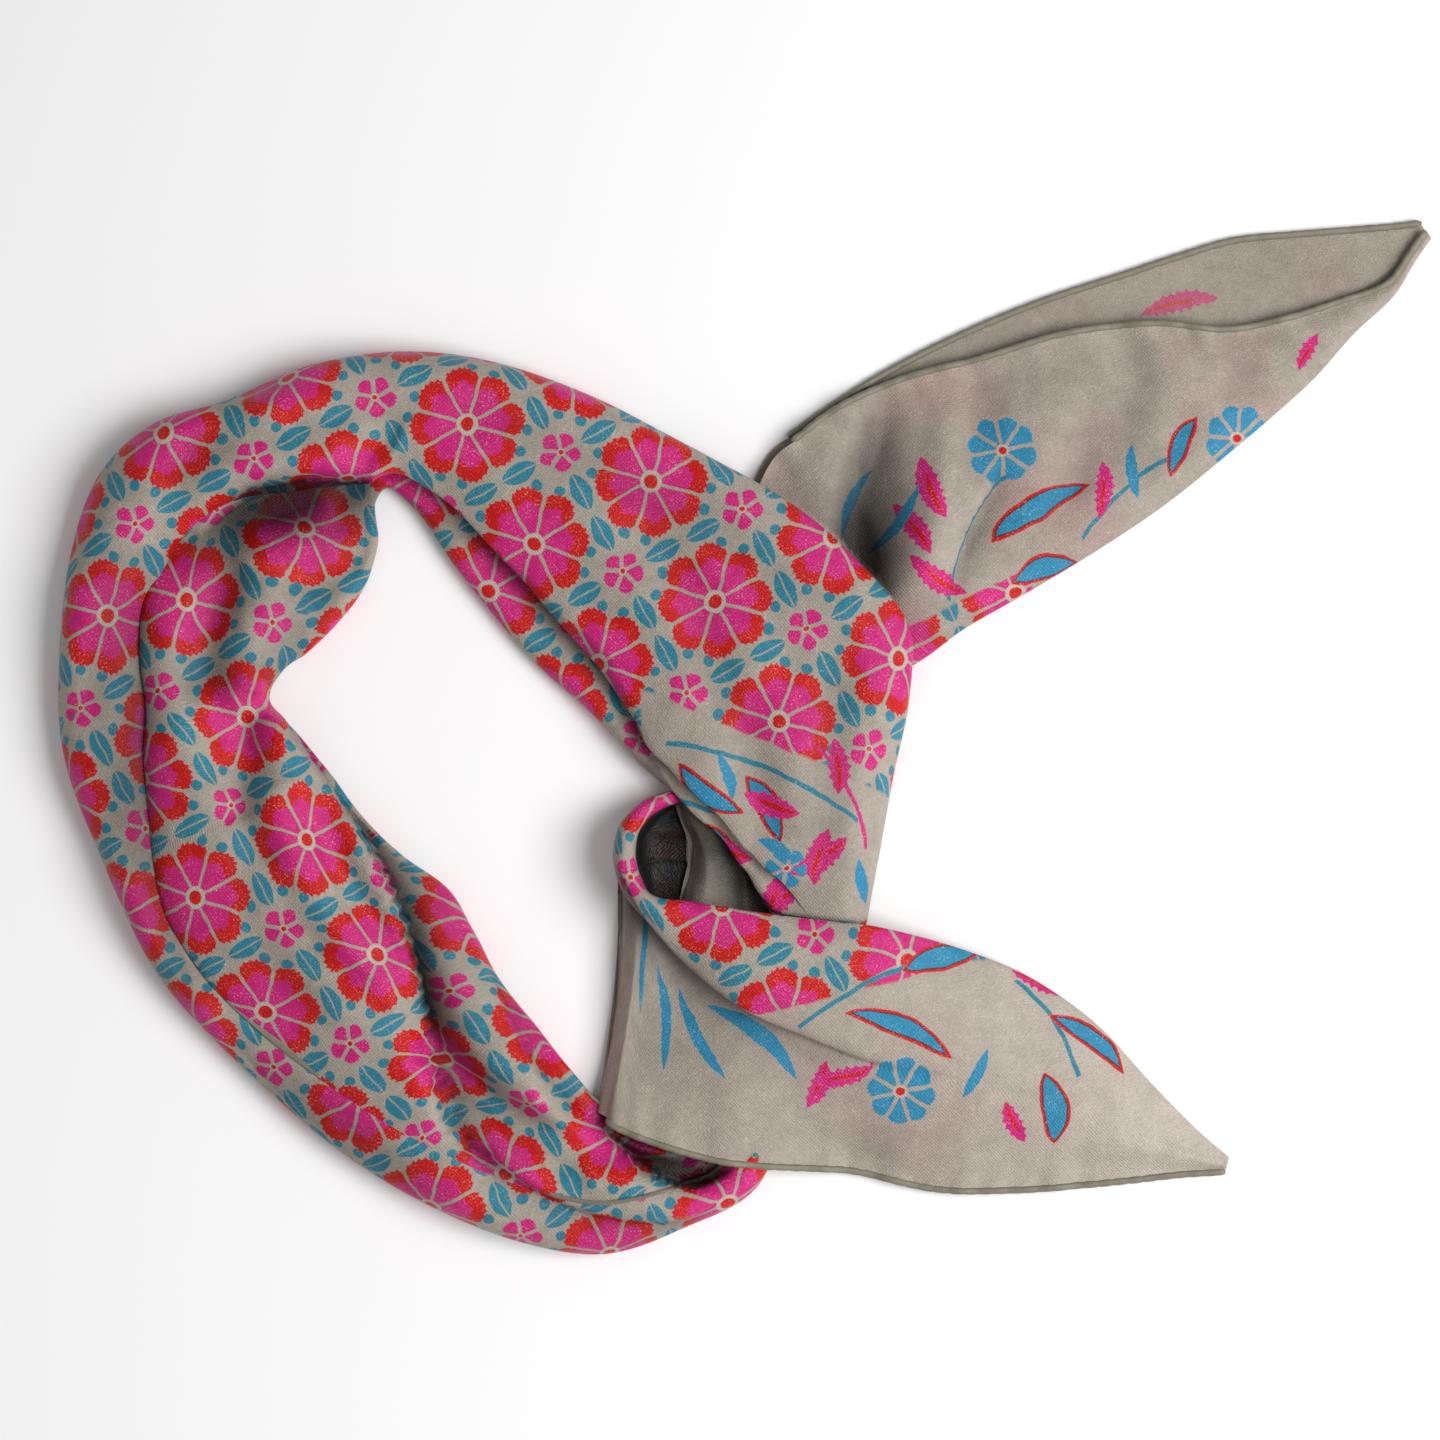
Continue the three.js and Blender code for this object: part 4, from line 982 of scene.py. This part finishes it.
def puckerEdge(grid, piece):
    fromFront, along, width = frontPlaces(grid)
    wander = noiseAt(along, fromFront, pucker["wanderSize"], 8) * pucker["wander"]
    loose = noiseAt(along, fromFront * pucker["looseDrag"], pucker["looseSize"], 17, 0.01)
    broad = noiseAt(along, fromFront, pucker["broadSize"], 11)
    gather = np.sin(2 * pi * along / piece["puckerPitch"] + wander) * np.exp(-fromFront / pucker["evenReach"])
    gather = gather * pucker["even"] + loose * pucker["loose"] * np.exp(-fromFront / pucker["looseReach"])
    hollow = broad * pucker["broad"] * (1 - np.exp(-fromFront / pucker["broadReach"]))
    onTop = ramp(columnShares(grid), pucker["topFrom"], pucker["topRun"])[None]
    tip = ramp(width, pucker["tipFrom"], pucker["tipRun"])
    moved = grid.copy()
    moved[..., 2] += (gather * piece["pucker"] + hollow) * onTop * tip
    return moved


upperEdges = [((1056, 640), (976, 480)), ((1040, 562), (885, 640))]
upperSpray = [
    ("stem", 948, 600, 62, 44.0, 1.4, 4.0), ("pink", 944, 520, 112, 20.0, 8.5, 1.2),
    ("pink", 930, 556, 128, 19.0, 8.0, -1.2), ("pink", 966, 596, 146, 21.0, 8.5, 1.4),
    ("flower", 1000, 452, 10, 10.8, 8, 0), ("outlined", 996, 548, 34, 34.0, 8.5, 2.6),
    ("outlined", 1010, 584, 14, 22.0, 9.0, 2.0), ("blue", 842, 540, 66, 24.0, 4.0, 2.4),
    ("blue", 866, 556, 54, 27.0, 4.2, -2.4), ("stem", 1082, 540, 42, 40.0, 1.3, 3.0),
    ("flower", 1236, 440, 40, 10.4, 8, 0), ("blue", 1136, 500, 96, 17.0, 4.4, 1.2),
    ("pink", 1096, 520, 84, 18.0, 7.0, -1.0), ("outlined", 1168, 478, 66, 20.0, 7.0, 1.5),
    ("pink", 1296, 372, 60, 13.0, 6.0, 0.8),
]
# The back layer's map lies to one side of the front's
backSpray = [("pink", 1208, -1650, 12, 25.0, 7.5, 1.4)]
silkUpper = printedSilk("upperSilk", upperEdges, (0, 2000), upperSpray, blush=1.0)
silkBack = printedSilk("backSilk", spray=backSpray, plain=True, reverse=0.35, blush=0.8)
upperGrid, upperUv, upperPaintedShade = buildUpperTail()
upperSheet = clothPiece("upper_tail_silk", upperGrid, upperUv, silkUpper, silkBack,
                        reversedRows=upperTail["reversedRows"], paintedShade=upperPaintedShade)
print("upper tail made")


# Lower tail with its curl: one stretch that comes up from under the crossing and folds over it

lowerTail = {
    "sections": 270, "across": 156, "length": 193 * mm, "width": 70 * mm, "cornerX": 0.635, "cornerY": 0.145,
    "setback": 0.08, "pucker": 0.7 * mm, "puckerPitch": 12 * mm, "foldDepth": 5.6 * mm, "foldPuff": 3.4 * mm,
    "overhang": 1.5 * mm, "tuck": 1.8 * mm, "foldSteps": 160, "curlEnd": 5.5, "curlInside": 686, "mapRows": 12,
    # along and across the tail: the top edge and the hem, then shares of the levels and of the crown
    "rowNames": ("topAlong", "topAcross", "hemAlong", "hemAcross", "top", "hem", "puff"),
    "row": [
        (0.085, 0.99, 0.025, -0.01, 1.0, 0.52, -0.27), (0.136, 0.974, 0.082, -0.07, 1.0, 0.58, -0.1),
        (0.24, 0.93, 0.187, -0.15, 1.02, 0.56, 0.2), (0.348, 0.895, 0.294, -0.18, 1.05, 0.3, 0.3),
        (0.43, 0.868, 0.389, -0.2, 0.95, 0.0, 0.45), (0.566, 0.763, 0.524, -0.28, 0.3, 0.0, 0.62),
        (0.674, 0.636, 0.642, -0.285, 0.05, 0.0, 0.55), (0.778, 0.43, 0.745, -0.265, 0.0, 0.0, 0.42),
        (0.864, 0.171, 0.837, -0.24, 0.0, 0.0, 0.3), (0.935, -0.03, 0.915, -0.215, 0.0, 0.0, 0.2),
        (0.985, -0.15, 0.98, -0.205, 0.0, 0.0, 0.14),
    ],
    # the curl's rim in the photograph's frame: place, way out, height and half width
    "curlNames": ("px", "py", "out", "height", "half"),
    "curl": [
        (687, 796, 95, 6.0, 1.3), (670, 798, 98, 9.2, 1.7), (654, 804, 120, 12.6, 2.1),
        (639, 816.5, 140, 15.6, 2.5), (628, 835, 165, 18.0, 2.9), (626, 858, 185, 19.4, 3.1),
        (632, 880, 205, 19.8, 3.1),
    ],
    # the rim's section: shares of the half width outward, shares of the height
    "rim": [(-2.7, 0.03), (-1.4, 0.25), (-1.15, 0.62), (-1.0, 0.93), (-0.35, 1.03), (0.4, 1.03), (1.05, 0.92),
            (1.15, 0.55), (1.0, 0.22)],
    # below the rim at each of its rows: places in the photograph's frame and heights, down to the hem
    "skirt": [
        [(680, 797, 0.6), (673, 798, 0.6), (667, 799, 0.6), (662, 801, 0.6)],
        [(660, 799, 0.6), (652, 803, 0.6), (646, 808, 0.6), (641, 813, 0.6)],
        [(638, 812, 0.6), (630, 826, 0.6), (624, 842, 0.6), (621, 856, 0.6)],
        [(621, 838, 0.6), (620, 900, 0.6), (619, 960, 0.6), (618, 990, 0.6)],
        [(624, 862, 1.2), (623, 990, 1.0), (603, 1074, 3.0), (599, 1106, 4.5)],
        [(628, 888, 6.8), (625, 1000, 6.2), (606, 1082, 5.8), (600, 1111, 6.4)],
        [(637, 906, 10.6), (632, 1000, 9.4), (613, 1083, 8.2), (606, 1114, 8.2)],
    ],
    # the fold across the corner: place in the photograph's frame and depth
    "fold": [(622, 866, 1.0), (636, 889, 1.0), (660, 932, 1.0), (689, 962, 1.0), (724, 991, 0.95),
             (765, 1018, 0.85), (803, 1032, 0.7), (853, 1053, 0.5), (905, 1068, 0.28), (960, 1078, 0.1),
             (1010, 1084, 0.0)],
    # breadth, then the line whose left-hand side gets painted shade, with its darkness
    "shades": [
        (8 * mm, [(850, 1048, 0.0), (765, 1016, 0.16), (700, 975, 0.24), (662, 938, 0.36), (641, 906, 0.55),
                  (628, 880, 0.55)]),
        (16 * mm, [(900, 1066, 0.0), (765, 1016, 0.08), (700, 975, 0.12), (662, 938, 0.14), (641, 906, 0.14),
                   (628, 880, 0.1)]),
    ],
}


def placeOnLowerTail(along, across):
    corner = placeOnLoop(lowerTail["cornerX"], lowerTail["cornerY"])
    return corner + np.array([along * lowerTail["length"], across * lowerTail["width"]])


# Where the fold's line crosses a section: share from the hem to the top edge, and its depth
def crossFold(hemPoint, topPoint):
    places = np.linspace(0, len(lowerTail["fold"]) - 1, lowerTail["foldSteps"])
    line = throughPoints([(*placeMm(px, py), depth) for px, py, depth in lowerTail["fold"]], places)
    reach = (topPoint - hemPoint) / mm
    gap = line[:, :2] - hemPoint / mm
    side = gap[:, 0] * reach[1] - gap[:, 1] * reach[0]
    share = (gap @ reach) / (reach @ reach)
    crossings = np.nonzero((side[:-1] * side[1:] <= 0) & (share[:-1] > 0) & (share[:-1] < 1))[0]
    if len(crossings) == 0:
        return 0.45, 0.0
    return float(share[crossings[0]]), float(line[crossings[0], 2])


def lowerSection(row):
    top = tableLevel + row["top"] * (tailLevel - tableLevel)
    hem = tableLevel + row["hem"] * (tailLevel - tableLevel)
    middle = (top + hem) / 2
    high, crest, low = top + 2 * layerStep, middle + row["puff"] * tailLevel + layerStep, hem + 1.5 * layerStep
    hemPoint = placeOnLowerTail(row["hemAlong"], row["hemAcross"])
    topPoint = placeOnLowerTail(row["topAlong"], row["topAcross"])
    width = np.linalg.norm(topPoint - hemPoint)
    share, depth = crossFold(hemPoint, topPoint)
    over, tuck = lowerTail["overhang"] / width, lowerTail["tuck"] / width
    sink, puff = lowerTail["foldDepth"] * depth, lowerTail["foldPuff"] * depth

    def surface(place):
        return low + (crest - low) * eased(place / 0.4) + (high - crest) * eased((place - 0.7) / 0.3)

    def between(flat, folded): return flat + (folded - flat) * depth

    level = surface(share)
    rest = 1 - share
    front = [
        (share + rest * 0.7, surface(share + rest * 0.7) + puff * 0.8),
        (share + rest * 0.3, surface(share + rest * 0.3) + puff),
        (between(share + 0.04, share - over), level + puff * 0.6), (share, level - sink * 0.45),
        (between(share - 0.04, share + tuck), level - sink * 0.95),
        (between(share - 0.1, share - over * 2.2), level - sink),
        (share * 0.5, surface(share * 0.5) - sink * 0.35), (0.08, low), (0.0, low),
    ]
    # the back layer keeps below the front where the fold sinks it
    lowered = [min(surface(share * 0.5) - sink * 0.35, level - sink) - 1.6 * layerStep,
               level - sink - 3.4 * layerStep]
    under = [max(tableLevel, between(middle, height)) for height in lowered]
    back = [(lowerTail["setback"], hem), (between(0.35, share * 0.75), under[0]),
            (between(0.7, share + rest * 0.6), under[1]), (1.0, top), (1.0, high)]
    return [(*(hemPoint + (topPoint - hemPoint) * place), height) for place, height in back + front]


def curlSection(row, skirt):
    angle = radians(row["out"])
    outward = np.array([cos(angle), sin(angle)])
    ridge = np.array(placeMm(row["px"], row["py"]))
    rim = [(*(ridge + outward * share * row["half"]), max(level * row["height"], tableLevel / mm))
           for share, level in lowerTail["rim"]]
    inside = (placeMm(lowerTail["curlInside"], 0)[0], rim[0][1] - 1.5, tableLevel / mm)
    below = [(*placeMm(px, py), height) for px, py, height in skirt]
    return [tuple(np.array(place) * mm) for place in [inside] + rim + below]


# Map of the corner: true lengths across the roll above the fold, and across the cloth below it; the
# columns in "at" are those of the section's 14 control points
def lowerMap(grid, firstRow):
    lengths = acrossLengths(grid)
    rows, columns = grid.shape[:2]
    at = [int((k + 1) / 15 * (columns - 1)) for k in range(14)]
    run = grid[:, at[7], :2] - grid[:, at[4], :2]
    direction = run / np.maximum(np.linalg.norm(run, axis=1, keepdims=True), 1e-9)
    layouts = []
    for column in (at[6], at[11]):
        offset = (lengths - lengths[:, column:column + 1])[..., None]
        layouts.append(grid[:, column, None, :2] + offset * direction[:, None])
    blend = ramp(np.arange(columns), at[8], at[9] - at[8])[None, :, None]
    laid = layouts[0] * (1 - blend) + layouts[1] * blend
    drop = grid[..., 2].max(axis=1, keepdims=True) - grid[..., 2]
    out = np.where(np.arange(columns)[None] > at[5], 1.0, -1.0) * drop
    draped = grid[..., :2] + out[..., None] * direction[:, None]
    early = ramp(np.arange(rows), firstRow - lowerTail["mapRows"] / 2, lowerTail["mapRows"])[:, None, None]
    return draped * (1 - early) + laid * early


# Painted shade inside the curl, darker the further the cloth goes down
curlShade = {
    "from": 0.6 * mm, "run": 3.6 * mm, "lastColumn": 0.34, "columnRun": 0.03, "pastRows": 42, "rowRun": 10,
}


def curlPaintedShade(grid, curlRow):
    drop = grid[..., 2].max(axis=1, keepdims=True) - grid[..., 2]
    inner = ramp(-columnShares(grid), -curlShade["lastColumn"], curlShade["columnRun"])[None]
    early = ramp(-np.arange(len(grid)), -curlRow - curlShade["pastRows"], curlShade["rowRun"])[:, None]
    return ramp(drop, curlShade["from"], curlShade["run"]) * inner * early


def buildLowerTail():
    curls = rowsOf(lowerTail, "curl")
    sections = [curlSection(row, skirt) for row, skirt in zip(curls, lowerTail["skirt"])]
    sections += [lowerSection(row) for row in rowsOf(lowerTail, "row")]
    profiles = [pullCurve(section, lowerTail["across"]) for section in sections]
    grid = refineGrid(profiles, lowerTail["sections"])
    grid[..., 2] = np.maximum(grid[..., 2], tableLevel)
    rowStep = (lowerTail["sections"] - 1) / (len(profiles) - 1)
    uv = lowerMap(grid, len(curls) * rowStep)
    return puckerEdge(grid, lowerTail), uv, int(lowerTail["curlEnd"] * rowStep)


crossEdges = [((600, 870), (765, 1028)), ((740, 1015), (1010, 948))]
lowerSpray = [
    ("blue", 647, 908, -94, 38.0, 4.2, -1.4), ("blue", 656, 962, -86, 33.0, 3.8, 1.8),
    ("blue", 678, 985, -62, 32.0, 4.6, -1.8), ("blue", 706, 1002, -40, 36.0, 6.0, 3.6),
    ("stem", 800, 1024, 26, 48.0, 1.4, 3.6), ("outlined", 842, 1008, -24, 36.0, 7.6, 3.4),
    ("outlined", 900, 968, 14, 25.0, 9.5, 1.4), ("pink", 826, 1056, -112, 16.0, 7.5, 1.0),
    ("pink", 872, 1060, 196, 20.0, 7.5, 1.2), ("flower", 900, 1086, 15, 10.6, 8, 0),
    ("stem", 1016, 978, -58, 34.0, 1.4, 3.0), ("outlined", 1046, 1012, -38, 30.0, 7.4, 3.0),
    ("outlined", 1042, 1070, -82, 22.0, 9.5, 1.8), ("pink", 1010, 966, -28, 17.0, 6.5, 1.0),
    ("blue", 984, 1046, -118, 16.0, 4.4, 1.2), ("pink", 1004, 1096, -64, 15.0, 7.0, -1.0),
]
# the lower tail's linen pales towards the right as painted light
silkLower = printedSilk("lowerSilk", crossEdges, (0, 2000), lowerSpray, blush=0.6, paintedLight=0.9)
lowerGrid, lowerUv, curlRow = buildLowerTail()
lowerWays = gridNormals(lowerGrid)
# painted shade inside the curl and beside the fold across the corner
lowerPaintedShade = np.maximum(curlPaintedShade(lowerGrid, curlRow), shadeBeside(lowerGrid, lowerTail["shades"]))
tailPart, curlPart = slice(curlRow, None), slice(0, curlRow + 1)
lowerSheet = clothPiece("lower_tail_silk", lowerGrid[tailPart], lowerUv[tailPart], silkLower, silkInside,
                        lowerWays[tailPart], flip=True, paintedShade=lowerPaintedShade[tailPart])
print("lower tail made")
wrapSheet = clothPiece("knot_wrap_silk", lowerGrid[curlPart], lowerUv[curlPart], silkLower, silkReverse,
                       lowerWays[curlPart], flip=True, paintedShade=lowerPaintedShade[curlPart])
declareSheet(wrapSheet, lowerGrid[curlPart], "knot_wrap")
print("knot wrap made")


# Rolled hems: a soft roll along each edge, drawn in at every stitch

hem = {
    "radius": 1.12 * mm, "sides": 12, "stitchPitch": 4.6 * mm, "stitchDepth": 0.25, "step": 0.9 * mm,
    "leastSteps": 8, "endRun": 1.2 * mm, "endShare": 0.25, "clear": 0.05 * mm, "curlRows": 12,
    "stitchBlunt": 0.35, "seat": 0.5, "threadFrom": 0.8, "threadMix": 1.6, "shadeFrom": 0.4, "shadeMix": 1.5,
    "cloudScale": 0.3, "twistPitch": 0.9, "twistLean": 2.0, "twistHeight": 0.5, "roughness": 0.5,
    "cloudRoughness": 0.3, "bumpStrength": 0.4, "bumpDistance": 0.00015,
}


def hemMaterial():
    maker = Maker("hemSilk")
    place, x, y = maker.clothPlace()
    stitch = (x * (2 * pi / (hem["stitchPitch"] / mm))).sine()
    cloud = maker.noise(hem["cloudScale"], place, 2.0)
    thread = (stitch - hem["threadFrom"]).most(0.0) * hem["threadMix"]
    colour = maker.mix(thread, dye["hem"], dye["hemThread"])
    colour = maker.mix((cloud - hem["shadeFrom"]).most(0.0) * hem["shadeMix"], colour, dye["hemShade"])
    maker.feed(maker.shader.inputs["Base Color"], colour)
    maker.feed(maker.shader.inputs["Roughness"], hem["roughness"] + (cloud - 0.5) * hem["cloudRoughness"])
    twist = ((x + y * hem["twistLean"]) * (2 * pi / hem["twistPitch"])).sine()
    relief = {"Strength": hem["bumpStrength"], "Distance": hem["bumpDistance"],
              "Height": twist * hem["twistHeight"] + cloud}
    bump = maker.node("ShaderNodeBump", {}, relief)
    maker.feed(maker.shader.inputs["Normal"], bump)
    return maker.material


# An even walk along a line of points
def evenWalk(points, step):
    lengths = runLengths(points)
    count = max(int(lengths[-1] / step), hem["leastSteps"])
    places = np.linspace(0, lengths[-1], count)
    return np.stack([np.interp(places, lengths, points[:, k]) for k in range(3)], axis=-1), places


def buildHem(name, node, edge, side):
    path, places = evenWalk(edge, hem["step"])
    run = np.gradient(path, axis=0)
    run /= np.linalg.norm(run, axis=1, keepdims=True)
    sideways = np.stack([-run[:, 1], run[:, 0], 0 * run[:, 0]], axis=-1)
    sideways /= np.linalg.norm(sideways, axis=1, keepdims=True)
    upward = np.cross(run, sideways)
    upward *= np.sign(upward[:, 2:3])
    stitched = np.abs(np.sin(pi * places / hem["stitchPitch"])) ** hem["stitchBlunt"]
    ends = np.clip(np.minimum(places, places[-1] - places) / hem["endRun"], hem["endShare"], 1) ** 0.5
    radius = hem["radius"] * (1 - hem["stitchDepth"] * (1 - stitched)) * ends
    centre = path + sideways * side * (hem["radius"] * hem["seat"])
    centre[:, 2] = np.maximum(centre[:, 2], hem["radius"] + hem["clear"])
    sides = hem["sides"]
    angles = np.arange(sides) * 2 * pi / sides
    ring = (np.cos(angles)[None, :, None] * sideways[:, None] + np.sin(angles)[None, :, None] * upward[:, None])
    points = centre[:, None] + ring * radius[:, None, None]
    rows = len(points)
    index = np.arange(rows * sides).reshape(rows, sides)
    nextIndex = np.roll(index, -1, axis=1)
    faces = np.stack([index[:-1], nextIndex[:-1], nextIndex[1:], index[1:]], axis=-1).reshape(-1, 4)
    mesh = bpy.data.meshes.new(name)
    caps = [index[0][::-1].tolist(), index[-1].tolist()]
    mesh.from_pydata(points.reshape(-1, 3).tolist(), [], faces.tolist() + caps)
    uvOfPoint = np.stack([np.repeat(places, sides), np.tile(angles * hem["radius"], rows)], axis=-1)
    layer = mesh.uv_layers.new(name="cloth")
    order = np.concatenate([faces.ravel(), np.array(caps).ravel()])
    layer.data.foreach_set("uv", uvOfPoint[order].astype(np.float32).ravel())
    mesh.materials.append(hemSilk)
    mesh.polygons.foreach_set("use_smooth", np.ones(len(mesh.polygons), bool))
    obj = bpy.data.objects.new(name, mesh)
    bpy.context.collection.objects.link(obj)
    bpy.ops.object.select_all(action="DESELECT")
    obj.select_set(True)
    bpy.context.view_layer.objects.active = obj
    bpy.ops.object.mode_set(mode="EDIT")
    bpy.ops.mesh.select_all(action="SELECT")
    bpy.ops.mesh.normals_make_consistent(inside=False)
    bpy.ops.object.mode_set(mode="OBJECT")
    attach(obj, body)
    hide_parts(node)
    print(name, "made")
    return obj


hemSilk = hemMaterial()
cornerStart = int(upperTail["sections"] * upperTail["hemFrom"])
upperHems = [buildHem("upper_back_hem_roll", "upper_tail_back_hem", upperGrid[cornerStart:, 0], 1),
             buildHem("upper_front_hem_roll", "upper_tail_front_hem", upperGrid[cornerStart:, -1], 1)]
lowerHem = buildHem("lower_hem_roll", "lower_tail_hem", lowerGrid[curlRow + hem["curlRows"]:, -1], -1)
declareSheet(upperSheet, upperGrid, "upper_tail")
declareSheet(lowerSheet, lowerGrid[tailPart], "lower_tail")


# Pale floor

ground = {"size": 6.0, "level": -0.2 * mm, "colour": (0.93, 0.925, 0.93, 1), "roughness": 0.8}


def addFloor():
    bpy.ops.object.select_all(action="DESELECT")
    bpy.ops.mesh.primitive_plane_add(size=ground["size"], location=(0, 0, ground["level"]))
    floor = bpy.context.active_object
    floor.name = "paleFloor"
    maker = Maker("paleFloor")
    maker.shader.inputs["Base Color"].default_value = ground["colour"]
    maker.shader.inputs["Roughness"].default_value = ground["roughness"]
    floor.data.materials.append(maker.material)


addFloor()

print("done")
